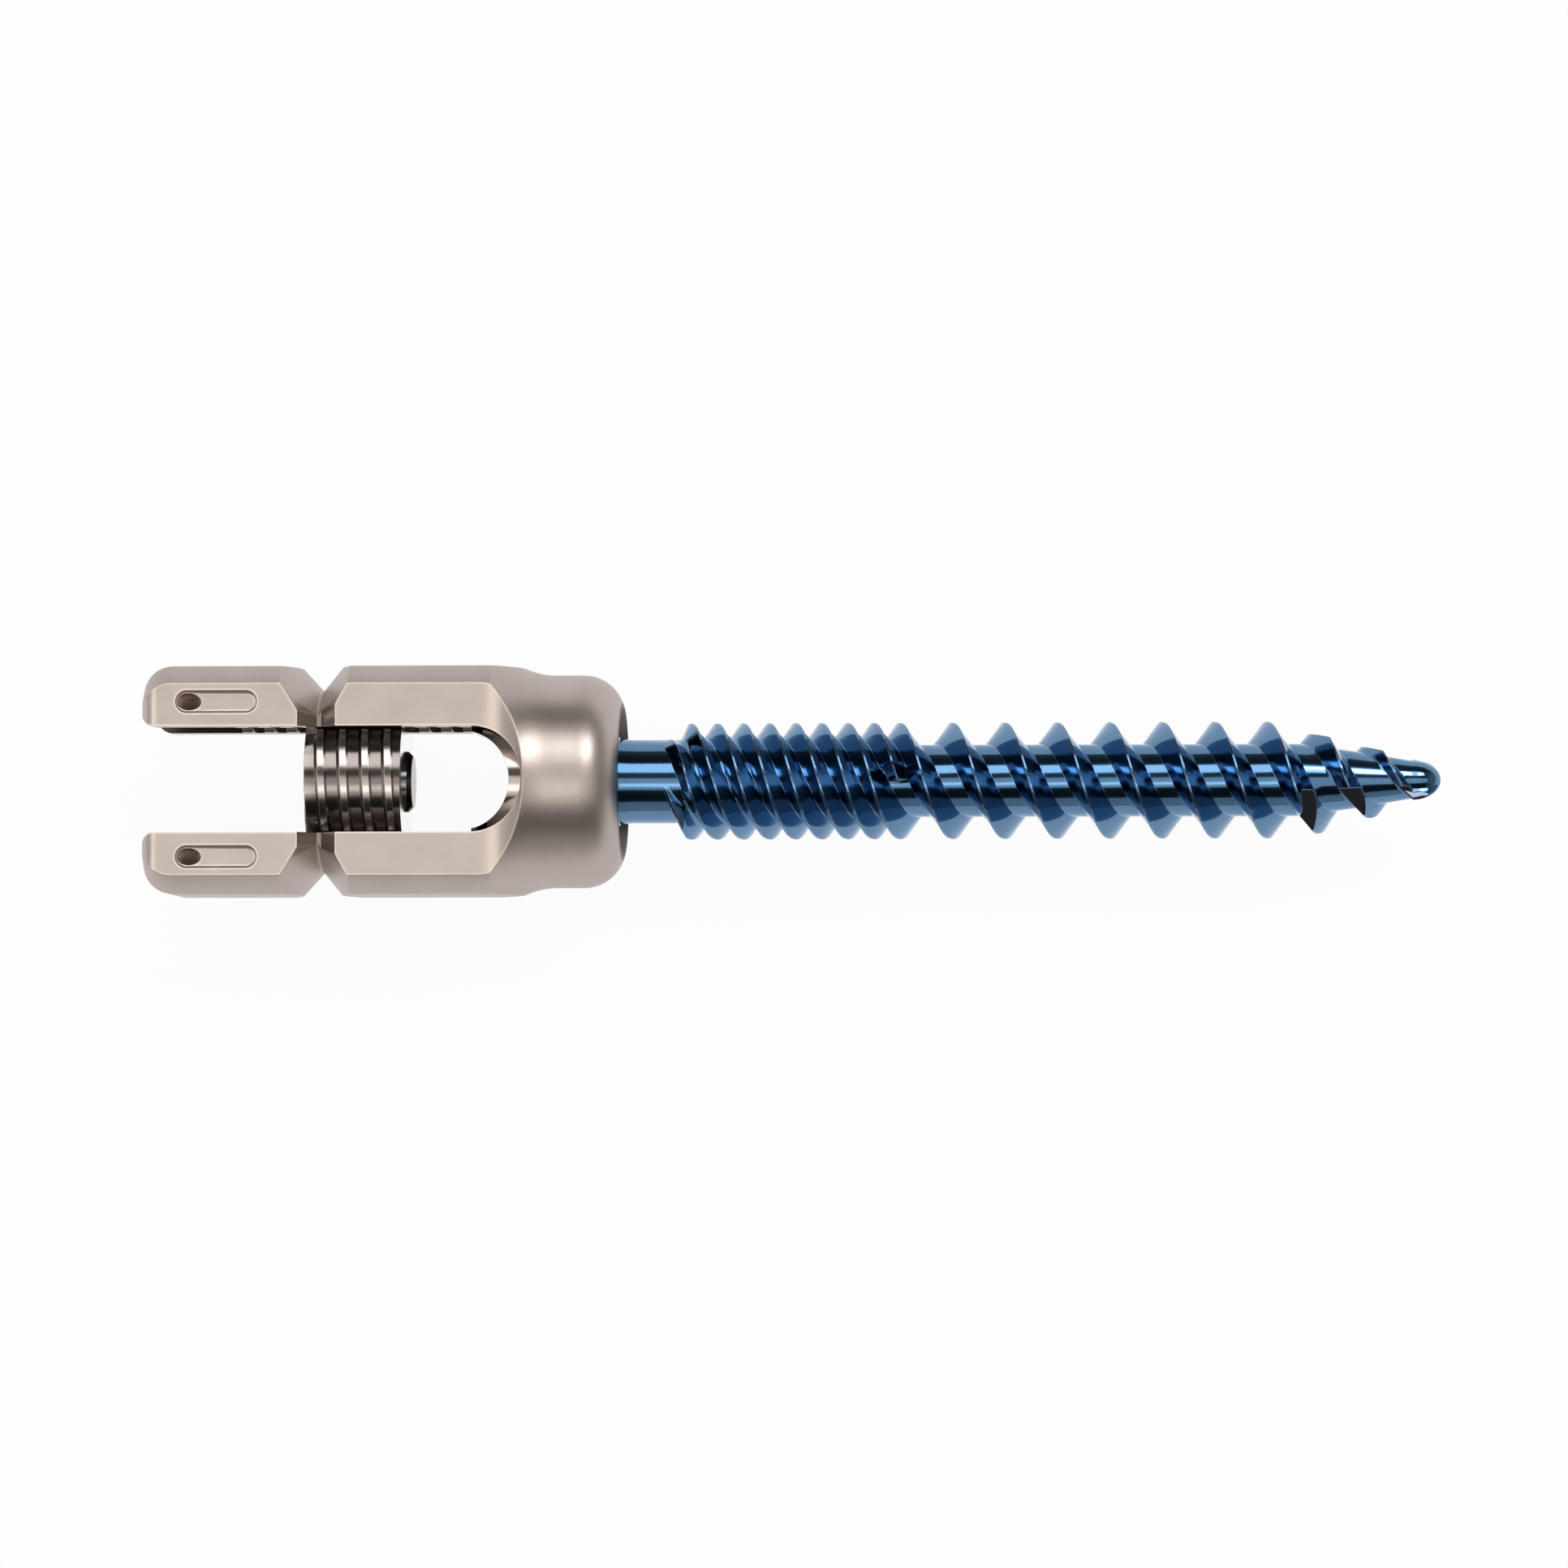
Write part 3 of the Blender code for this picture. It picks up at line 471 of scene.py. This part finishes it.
def thread_share(angles, heights, gap):
    """0 on the crest and 1 in the root of the locking thread, whose flank towards the rod is steep."""
    turned = heights - first_crest_at - rod_pitch * angles / math.tau
    climb = np.mod(turned + rod_pitch / 2, rod_pitch) - rod_pitch / 2
    above_crest = (climb - crest_half - gap) / free_flank
    below_crest = (-climb - crest_half - gap) / loaded_flank
    return np.clip(np.maximum(above_crest, below_crest), 0.0, 1.0)


def tap_radius(angles, heights):
    """Female thread that the locking screw runs in, clear of it all round, behind a plain entry."""
    threaded = np.clip((entry_end - heights) / entry_run_out, 0.0, 1.0)
    depth = (thread_depth + 0.06) * thread_share(angles, heights, tap_gap)
    return screw_radius + 0.08 - depth * threaded


def thread_marks(gap):
    """Where the thread's form has its corners within one pitch."""
    edge = crest_half + gap
    corners = (edge, edge + free_flank, -edge, -edge - loaded_flank)
    return [(first_crest_at + corner) % rod_pitch for corner in corners]


tap_low = 4.44
tap = threaded_tube(tap_low, above, rod_pitch, thread_marks(tap_gap), 96, tap_radius)
for end in (tap_low, above):
    select_end(tap, end)
    bpy.ops.mesh.edge_face_add()
finish_mesh(tap, "tap")
tap.data.materials.append(tapped)
cut(tulip, tap)
finish_mesh(tulip, "tulip", 28.0)
tulip.data.materials.append(flare_shaded)
inside = tulip.data.materials.find(inner_wall_shaded.name)
flare = tulip.data.materials.find(flare_shaded.name)
# Blasted faces in the groove's bottom, the flare under the head and the bore take the darker colours: painted
# shade.
for face in tulip.data.polygons:
    arm = face.center - ball
    radius = math.hypot(arm.y, arm.z) / mm
    if tulip.data.materials[face.material_index] != blasted:
        continue
    if abs(-arm.x / mm - groove_at) < 0.06 and radius < groove_radius + 0.05:
        face.material_index = tulip.data.materials.find(groove_shaded.name)
    elif radius < bore_shown and arm.x > 1.5 * mm:
        face.material_index = flare
    elif radius < bore_shown:
        face.material_index = inside
weighted = tulip.modifiers.new("flat faces", "WEIGHTED_NORMAL")
weighted.keep_sharp = True
bpy.ops.object.modifier_apply(modifier=weighted.name)
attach(tulip, "head")
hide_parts("tulip_head")

# Pressure saddle: the polished titanium cap that sits on the ball and carries the rod in a half-round seat.
# It is turned, milled across for the rod, and pressed into the bore above the ball.

saddle_low, saddle_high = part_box("pressure_saddle")
saddle_top = (ball.x - saddle_low.x) / mm
saddle_radius = saddle_high.y / mm
saddle_skirt = (ball.x - saddle_high.x) / mm
saddle_bore = 2.6
socket_radius = 3.75
rod_radius = 2.75
rod_at = 5.902
polished = titanium("polished_saddle", (0.50, 0.455, 0.425), 0.14, 0.06, 0.05, 0.05, (1.0, 1.0, 0.12))
saddle_edge = 0.08
skirt_angle = math.degrees(math.asin(saddle_skirt / socket_radius))
bore_angle = math.degrees(math.acos(saddle_bore / socket_radius))
saddle_profile = [
    (saddle_top, saddle_bore + saddle_edge),
    (saddle_top, saddle_radius - saddle_edge),
    (saddle_top - saddle_edge, saddle_radius),
    (saddle_skirt + saddle_edge, saddle_radius),
    (saddle_skirt, saddle_radius - saddle_edge),
]
saddle_profile += arc(0.0, 0.0, socket_radius, skirt_angle, bore_angle, 16)
saddle_profile += [(saddle_top - saddle_edge, saddle_bore)]
saddle = turned_ring(saddle_profile, 128)
saddle.data.materials.append(polished)
bpy.ops.mesh.primitive_cylinder_add(
    vertices=128, radius=rod_radius * mm, depth=4 * saddle_radius * mm, location=at(rod_at)
)
rod_seat = bpy.context.object
rod_seat.data.materials.append(polished)
cut(saddle, rod_seat)
finish_mesh(saddle, "saddle", 28.0)
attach(saddle, "head")
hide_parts("pressure_saddle")

# Locking screw: a turned titanium plug with a buttress-like thread, a six-lobed driver socket and a small
# boss that bites on the rod. It is screwed down between the arms.

screw_length = 5.35
boss_radius = 1.72
boss_height = 0.41
boss_chamfer = 0.27
screw_chamfer = 0.35
lead_in = 0.42
thread_start = 0.1
drive_radius = 2.2
lobe_depth = 0.55
dark_turned = titanium("dark_turned_titanium", (0.46, 0.41, 0.385), 0.16, 0.08, 0.06, 0.05, (0.15, 1.0, 1.0))
dark_turned.node_tree.nodes["Principled BSDF"].inputs["Specular Tint"].default_value = (1.0, 1.0, 1.0, 1.0)
shade_roots(dark_turned, 3.9, 4.25, 0.5)
# A near-white colour for the plug's lower end face and top chamfer stands in for the white floor they
# reflect: a painted reflection.
faced_painted_reflection = titanium("faced_end_painted_reflection", (0.95, 0.94, 0.93), 0.12, 0.05, 0.05, 0.03, edge_wear_and_highlight=1.0)
faced_painted_reflection.node_tree.nodes["Principled BSDF"].inputs["Specular Tint"].default_value = (1.0, 1.0, 1.0, 1.0)


def plug_radius(angles, heights):
    """One start with flat crests and roots, inside the chamfer at each end."""
    height = heights - screw_base
    envelope = np.interp(
        height,
        [0.0, screw_chamfer, screw_length - screw_chamfer, screw_length],
        [screw_radius - screw_chamfer, screw_radius, screw_radius, screw_radius - screw_chamfer],
    )
    threaded = np.clip((screw_length - lead_in - height) / thread_start, 0.0, 1.0)
    return np.minimum(screw_radius - thread_depth * thread_share(angles, heights, 0.0) * threaded, envelope)


def drive_socket(top, depth):
    """Six-lobed socket cutter, drawn out of a circle whose points are moved in and out."""
    bpy.ops.mesh.primitive_circle_add(
        vertices=120, radius=drive_radius * mm, location=at(top + 1.0), rotation=(0.0, math.pi / 2, 0.0)
    )
    bpy.ops.object.transform_apply(location=True, rotation=True, scale=True)
    socket = bpy.context.object
    centre = at(top + 1.0)
    for vertex in socket.data.vertices:
        arm = vertex.co - centre
        angle = math.atan2(arm.y, arm.z)
        share = 1.0 - lobe_depth / drive_radius * (0.5 - 0.5 * math.cos(6 * angle))
        vertex.co = centre + arm * share
    bpy.ops.object.mode_set(mode="EDIT")
    bpy.ops.mesh.edge_face_add()
    floor = [(top - depth + 0.15, drive_radius), (top - depth, drive_radius - 0.25)]
    draw_out(floor, top + 1.0, drive_radius)
    bpy.ops.object.mode_set(mode="OBJECT")
    finish_mesh(socket, "socket")
    return socket


plug_end = screw_base + screw_length
plug = threaded_tube(screw_base, plug_end, rod_pitch, thread_marks(0.0), 128, plug_radius)
end_edge = screw_radius - screw_chamfer
select_end(plug, screw_base)
draw_out(
    [
        (screw_base, boss_radius),
        (screw_base - boss_height + boss_chamfer, boss_radius),
        (screw_base - boss_height, boss_radius - boss_chamfer),
    ],
    screw_base,
    end_edge,
)
bpy.ops.mesh.edge_face_add()
select_end(plug, plug_end)
bpy.ops.mesh.edge_face_add()
bpy.ops.object.mode_set(mode="OBJECT")
finish_mesh(plug, "plug")
plug.data.materials.append(dark_turned)
plug_socket = drive_socket(plug_end, 3.2)
plug_socket.data.materials.append(dark_turned)
cut(plug, plug_socket)
finish_mesh(plug, "locking_screw", 28.0)
# The near-white painted reflection goes on the lower end face round the boss and on the top chamfer.
plug.data.materials.append(faced_painted_reflection)
for face in plug.data.polygons:
    arm = face.center - ball
    radius = math.hypot(arm.y, arm.z) / mm
    height = -arm.x / mm
    base_face = abs(height - screw_base) < 0.01 and radius > boss_radius
    top_chamfer = height > plug_end - screw_chamfer and face.normal.x < -0.3 and radius > 3.4
    if base_face or top_chamfer:
        face.material_index = len(plug.data.materials) - 1
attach(plug, "plug")
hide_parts("set_screw")

# Split ring: the snap ring of turned titanium under the ball. It is squeezed into its groove from below and
# keeps the ball from falling out. The solid's own shape is right, so it only gets a turned finish.

ring_node = frame["nodes"]["split_ring"]
ring_node.data.materials.clear()
ring_finish = titanium("turned_ring", (0.52, 0.49, 0.46), 0.22, 0.1, 0.05, 0.05, (0.2, 1.0, 1.0))
ring_node.data.materials.append(ring_finish)

# Bone screw: ball, neck and thread whirled from one titanium bar and anodised a glossy blue. Two coarse
# starts run all along and two more fill them in by the neck. Three flutes ground into the tip cut its way in.

ball_radius = 3.7
ball_flat = 2.0
neck_radius = 2.34
core_radius = 2.02
thread_radius = 3.25
lead = 5.846
first_crest = 6.726
crest_width = 0.10
reach = 48.55
nose_length = 1.55
nose_radius = 1.25
taper_length = 7.85
fine_end = 18.3
fine_run_out = 0.35
nose_at = -(reach - nose_length)
taper_at = -(reach - taper_length)
neck_top = -math.sqrt(ball_radius**2 - neck_radius**2)
neck_end = neck_top - 2.5
anodised_deep = (0.02, 0.105, 0.24)
anodised_light = (0.05, 0.19, 0.36)
thread_knots = [nose_at, taper_at - 0.9, taper_at, neck_end - 1.15, neck_end - 0.12]
crest_knots = [nose_radius + 0.2, thread_radius - 0.2, thread_radius, thread_radius, neck_radius]
core_places = [nose_at, (nose_at + taper_at) / 2, taper_at, -fine_end, -fine_end / 2, neck_end]
core_knots = [
    nose_radius - 0.2,
    (core_radius + nose_radius) / 2 - 0.05,
    core_radius,
    core_radius,
    neck_radius,
    neck_radius,
]
flank_reach = 0.86


def bone_thread(angles, heights):
    """Coarse starts all along and extra ones between them by the neck, with hollow flanks."""
    half_lead = lead / 2
    from_crest = np.mod(heights + first_crest - lead * (angles - math.pi / 2) / math.tau, half_lead)
    coarse = np.minimum(from_crest, half_lead - from_crest)
    fine = half_lead / 2 - coarse
    crest = np.interp(heights, thread_knots, crest_knots)
    core = np.interp(heights, core_places, core_knots)
    fine_crest_at = heights - from_crest + half_lead / 2
    fade = np.clip((fine_crest_at + fine_end) / fine_run_out + 0.5, 0.0, 1.0)
    depth = thread_radius - core_radius

    def fall(distance):
        share = np.clip((distance - crest_width / 2) / flank_reach, 0.0, 1.0)
        return depth * (1 - (1 - share) ** 1.1)

    coarse_radius = crest - fall(coarse)
    fine_radius = core + (crest - core) * fade - fall(fine)
    return np.maximum(core, np.maximum(coarse_radius, fine_radius))


half_lead = lead / 2
flank_steps = 9
marks = [crest_width / 2 + flank_reach * i / flank_steps for i in range(flank_steps + 1)]
marks = [m for m in marks if m < half_lead / 2 - 0.12]
quarter = half_lead / 2
crest_marks = marks + [quarter - crest_width / 2, quarter + crest_width / 2] + [half_lead - m for m in marks]
crest_phase = (-first_crest - lead / 4) % half_lead
thread_stations = [(crest_phase + m + k * half_lead) % lead for m in crest_marks for k in (0, 1)]
shank = threaded_tube(nose_at, neck_end, lead, thread_stations, 120, bone_thread)
select_end(shank, neck_end)
fillet = 0.9
fillet_start = neck_top + 0.06
start_radius = math.sqrt(ball_radius**2 - fillet_start**2)
neck_profile = []
for step in range(0, 9):
    share = step / 9
    height = neck_top - fillet + (fillet + 0.06) * share
    neck_profile.append((height, neck_radius + (start_radius - neck_radius) * share**2))
low_angle = math.degrees(math.asin(fillet_start / ball_radius))
high_angle = math.degrees(math.asin(ball_flat / ball_radius))
neck_profile += arc(0.0, 0.0, ball_radius, low_angle, high_angle, 40)
draw_out(neck_profile, neck_end, neck_radius)
bpy.ops.mesh.edge_face_add()
select_end(shank, nose_at)
nose_profile = []
for degrees in range(6, 90, 6):
    a = math.radians(degrees)
    nose_profile.append((nose_at - nose_length * math.sin(a), nose_radius * math.cos(a)))
nose_profile.append((nose_at - nose_length, 0.02))
draw_out(nose_profile, nose_at, nose_radius)
bpy.ops.mesh.edge_face_add()
bpy.ops.object.mode_set(mode="OBJECT")
finish_mesh(shank, "shank")


def anodise(name, deep, light):
    """Glossy anodised titanium: a clouded oxide film over turning marks, paler along the crests, partly wear
    and partly a painted highlight.
    """
    material = bpy.data.materials.new(name)
    material.use_nodes = True
    tree, n = add_nodes(
        material,
        place="TexCoord",
        film="TexNoise",
        marks="TexNoise",
        mapping="Mapping",
        bump="Bump",
        round="Bevel",
        face="NewGeometry",
        facing="VectorMath",
        edge="MapRange",
        tone="Mix",
        rim="Mix",
        rough="MapRange",
    )
    link = tree.links.new
    shader = n["shader"]
    shader.inputs["Metallic"].default_value = 1.0
    shader.inputs["Specular Tint"].default_value = (0.4, 0.6, 0.82, 1.0)
    shader.inputs["Coat Weight"].default_value = 1.0
    shader.inputs["Coat Roughness"].default_value = 0.05
    shader.inputs["Coat IOR"].default_value = 1.65
    n["film"].inputs["Scale"].default_value = 260.0
    n["film"].inputs["Detail"].default_value = 5.0
    link(n["place"].outputs["Object"], n["film"].inputs["Vector"])
    n["mapping"].inputs["Scale"].default_value = (1.0, 0.12, 0.12)
    link(n["place"].outputs["Object"], n["mapping"].inputs["Vector"])
    n["marks"].inputs["Scale"].default_value = 16000.0
    n["marks"].inputs["Detail"].default_value = 2.0
    link(n["mapping"].outputs["Vector"], n["marks"].inputs["Vector"])
    n["round"].samples = 6
    n["round"].inputs["Radius"].default_value = 0.05 * mm
    n["facing"].operation = "DOT_PRODUCT"
    link(n["round"].outputs["Normal"], n["facing"].inputs[0])
    link(n["face"].outputs["Normal"], n["facing"].inputs[1])
    n["edge"].inputs["From Min"].default_value = 0.99
    n["edge"].inputs["From Max"].default_value = 0.88
    link(n["facing"].outputs["Value"], n["edge"].inputs["Value"])
    n["bump"].inputs["Strength"].default_value = 0.06
    n["bump"].inputs["Distance"].default_value = 0.01 * mm
    link(n["marks"].outputs["Fac"], n["bump"].inputs["Height"])
    link(n["round"].outputs["Normal"], n["bump"].inputs["Normal"])
    link(n["bump"].outputs["Normal"], shader.inputs["Normal"])
    n["tone"].data_type = "RGBA"
    n["tone"].inputs["A"].default_value = (*deep, 1.0)
    n["tone"].inputs["B"].default_value = (*light, 1.0)
    link(n["film"].outputs["Fac"], n["tone"].inputs["Factor"])
    # Paler colour along edges and crests: partly wear, partly a painted highlight.
    n["rim"].data_type = "RGBA"
    n["rim"].inputs["B"].default_value = (0.35, 0.45, 0.55, 1.0)
    link(n["edge"].outputs["Result"], n["rim"].inputs["Factor"])
    link(n["tone"].outputs["Result"], n["rim"].inputs["A"])
    link(n["rim"].outputs["Result"], shader.inputs["Base Color"])
    n["rough"].inputs["To Min"].default_value = 0.1
    n["rough"].inputs["To Max"].default_value = 0.2
    link(n["film"].outputs["Fac"], n["rough"].inputs["Value"])
    link(n["rough"].outputs["Result"], shader.inputs["Roughness"])
    return material


anodised = anodise("blue_anodised_titanium", anodised_deep, anodised_light)
ground = titanium("ground_flute", (0.46, 0.54, 0.74), 0.1, 0.05, 0.04, 0.02, (1.0, 0.2, 0.2), 1.0)
shank.data.materials.append(anodised)

shank_socket = drive_socket(ball_flat, 2.3)
shank_socket.data.materials.append(anodised)
cut(shank, shank_socket)
flute_lean = math.radians(17.0)
flute_run = taper_at - nose_at
span = 2 * thread_radius
# Each flute's turn about the axis, its floor's distance from it and slope, and where its wall stands.
flutes = ((17.0, 2.08, 8.3, -0.04), (-90.0, 2.74, 14.0, 0.95), (150.0, 2.74, 14.0, 0.95))
for turn, floor_radius, slope, corner in flutes:
    section = [
        (0.0, -span),
        (span, -span),
        (span * math.cos(flute_lean), corner + span * math.sin(flute_lean)),
        (0.0, corner),
    ]
    lie = Matrix.Translation(at(taper_at)) @ Matrix.Rotation(math.radians(turn), 4, "X")
    lie = lie @ Matrix.Translation((0.0, 0.0, floor_radius * mm))
    lie = lie @ Matrix.Rotation(math.radians(slope), 4, "Y")
    places = [lie @ (Vector((0.0, y, z)) * mm) for z, y in section]
    along = (lie.to_3x3() @ Vector((1.0, 0.0, 0.0))) * 2 * flute_run * mm
    cut(shank, outline_cutter(places, along, ground))
finish_mesh(shank, "bone_screw_body", 32.0)
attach(shank, "shank")
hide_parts("bone_screw")

# Studio: a white floor that keeps the screw's shadow, dark walls that go pale towards the screw's ends, and
# area lamps: soft boxes overhead and behind, a small key towards the tip and a weak fill from the near side.

bpy.ops.mesh.primitive_plane_add(size=6.0, location=(0.0, 0.0, 0.0))
floor = bpy.context.object
floor.name = "floor"
paper = bpy.data.materials.new("white_floor")
paper.use_nodes = True
tree, n = add_nodes(paper, rays="LightPath", seen="Math", glow="Emission", mix="MixShader", share="Math")
n["shader"].inputs["Base Color"].default_value = (0.9, 0.9, 0.9, 1.0)
n["shader"].inputs["Roughness"].default_value = 0.9
n["seen"].operation = "MAXIMUM"
tree.links.new(n["rays"].outputs["Is Camera Ray"], n["seen"].inputs[0])
tree.links.new(n["rays"].outputs["Is Glossy Ray"], n["seen"].inputs[1])
n["share"].operation = "MULTIPLY"
n["share"].inputs[1].default_value = 0.95
tree.links.new(n["seen"].outputs["Value"], n["share"].inputs[0])
tree.links.new(n["share"].outputs["Value"], n["mix"].inputs["Fac"])
tree.links.new(n["shader"].outputs["BSDF"], n["mix"].inputs[1])
tree.links.new(n["glow"].outputs["Emission"], n["mix"].inputs[2])
tree.links.new(n["mix"].outputs["Shader"], tree.nodes["Material Output"].inputs["Surface"])
floor.data.materials.append(paper)

world = bpy.data.worlds.new("studio")
bpy.context.scene.world = world
world.use_nodes = True
tree = world.node_tree
background = tree.nodes["Background"]
rays = tree.nodes.new("ShaderNodeLightPath")
direction = tree.nodes.new("ShaderNodeTexCoord")
split = tree.nodes.new("ShaderNodeSeparateXYZ")
ramp = tree.nodes.new("ShaderNodeValToRGB")
lengthwise = tree.nodes.new("ShaderNodeMapRange")
ends = tree.nodes.new("ShaderNodeValToRGB")
walls = tree.nodes.new("ShaderNodeMix")
walls.data_type = "RGBA"
walls.blend_type = "LIGHTEN"
walls.inputs["Factor"].default_value = 1.0
seen = tree.nodes.new("ShaderNodeMix")
seen.data_type = "RGBA"
tree.links.new(direction.outputs["Generated"], split.inputs["Vector"])
tree.links.new(split.outputs["Z"], ramp.inputs["Fac"])
lengthwise.inputs["From Min"].default_value = -1.0
tree.links.new(split.outputs["X"], lengthwise.inputs["Value"])
tree.links.new(lengthwise.outputs["Result"], ends.inputs["Fac"])
ramp.color_ramp.elements[0].position = 0.0
ramp.color_ramp.elements[0].color = (0.14, 0.12, 0.115, 1.0)
ramp.color_ramp.elements[1].position = 0.98
ramp.color_ramp.elements[1].color = (0.10, 0.09, 0.085, 1.0)
for height, grey in ((0.35, 0.05), (0.6, 0.02), (0.9, 0.025)):
    dark = ramp.color_ramp.elements.new(height)
    dark.color = (grey, grey * 0.87, grey * 0.77, 1.0)
ends.color_ramp.elements[0].position = 0.06
ends.color_ramp.elements[0].color = (0.62, 0.6, 0.6, 1.0)
ends.color_ramp.elements[1].position = 0.95
ends.color_ramp.elements[1].color = (0.36, 0.34, 0.34, 1.0)
for place in (0.27, 0.76):
    ends.color_ramp.elements.new(place).color = (0.0, 0.0, 0.0, 1.0)
tree.links.new(ramp.outputs["Color"], walls.inputs["A"])
tree.links.new(ends.outputs["Color"], walls.inputs["B"])
tree.links.new(walls.outputs["Result"], seen.inputs["A"])
seen.inputs["B"].default_value = (1.0, 1.0, 1.0, 1.0)
tree.links.new(rays.outputs["Is Camera Ray"], seen.inputs["Factor"])
tree.links.new(seen.outputs["Result"], background.inputs["Color"])


def aim(obj, direction):
    """Turns a lamp or camera so that it looks back along a direction, with its width along the screw."""
    right = Vector((0.0, 1.0, 0.0)).cross(direction).normalized()
    obj.rotation_euler = Matrix((right, direction.cross(right), direction)).transposed().to_euler()


def soft_box(name, along, across, distance, width, depth, radiance, warmth=(1.0, 1.0, 1.0)):
    """An area lamp over the screw, off the vertical by an angle along it and one across it."""
    lamp = bpy.data.lights.new(name, "AREA")
    lamp.shape = "RECTANGLE"
    lamp.size = width
    lamp.size_y = depth
    lamp.energy = radiance * math.pi * width * depth
    lamp.color = warmth
    obj = bpy.data.objects.new(name, lamp)
    bpy.context.scene.collection.objects.link(obj)
    towards = Vector((math.tan(math.radians(along)), math.tan(math.radians(across)), 1.0)).normalized()
    obj.location = Vector((0.0, 0.0, ball.z)) + towards * distance
    aim(obj, towards)


soft_box("back_soft_box", 0.0, 35.0, 0.6, 0.55, 0.27, 2.7)
soft_box("key_soft_box", 30.0, 36.0, 0.7, 0.2, 0.2, 9.0)
soft_box("top_soft_box", 0.0, -9.0, 0.9, 1.9, 0.5, 1.0, (1.0, 0.96, 0.92))
soft_box("ceiling_lamp", -4.0, -12.0, 0.8, 0.4, 0.12, 1.8)
soft_box("end_soft_box", -38.0, 0.0, 0.7, 0.25, 0.5, 1.5, (1.0, 0.95, 0.9))
soft_box("near_fill", 0.0, -74.0, 0.7, 0.9, 0.35, 0.45)

# Camera at the photograph's angle: above the screw, a little towards its tip and towards the near arm.

camera_data = bpy.data.cameras.new("camera")
camera = bpy.data.objects.new("camera", camera_data)
bpy.context.scene.collection.objects.link(camera)
photo_width = 1932
pixels_per_mm = 22.05
pixel = mm / pixels_per_mm
screw_middle_px = (977.44, 962.7)
middle = Vector(
    (
        (photo_width / 2 - screw_middle_px[0]) * pixel,
        (screw_middle_px[1] - photo_width / 2) * pixel,
        ball.z,
    )
)
camera_distance = 0.5
lean_to_tip = math.radians(3.4)
lean_to_near = math.radians(2.5)
direction = Vector((math.tan(lean_to_tip), -math.tan(lean_to_near), 1.0)).normalized()
camera.location = middle + direction * camera_distance
aim(camera, direction)
camera_data.lens = camera_data.sensor_width * camera_distance / (photo_width * pixel)
camera_data.clip_start = 0.01
camera_data.clip_end = 20.0
bpy.context.scene.camera = camera

scene = bpy.context.scene
scene.view_settings.view_transform = "Standard"
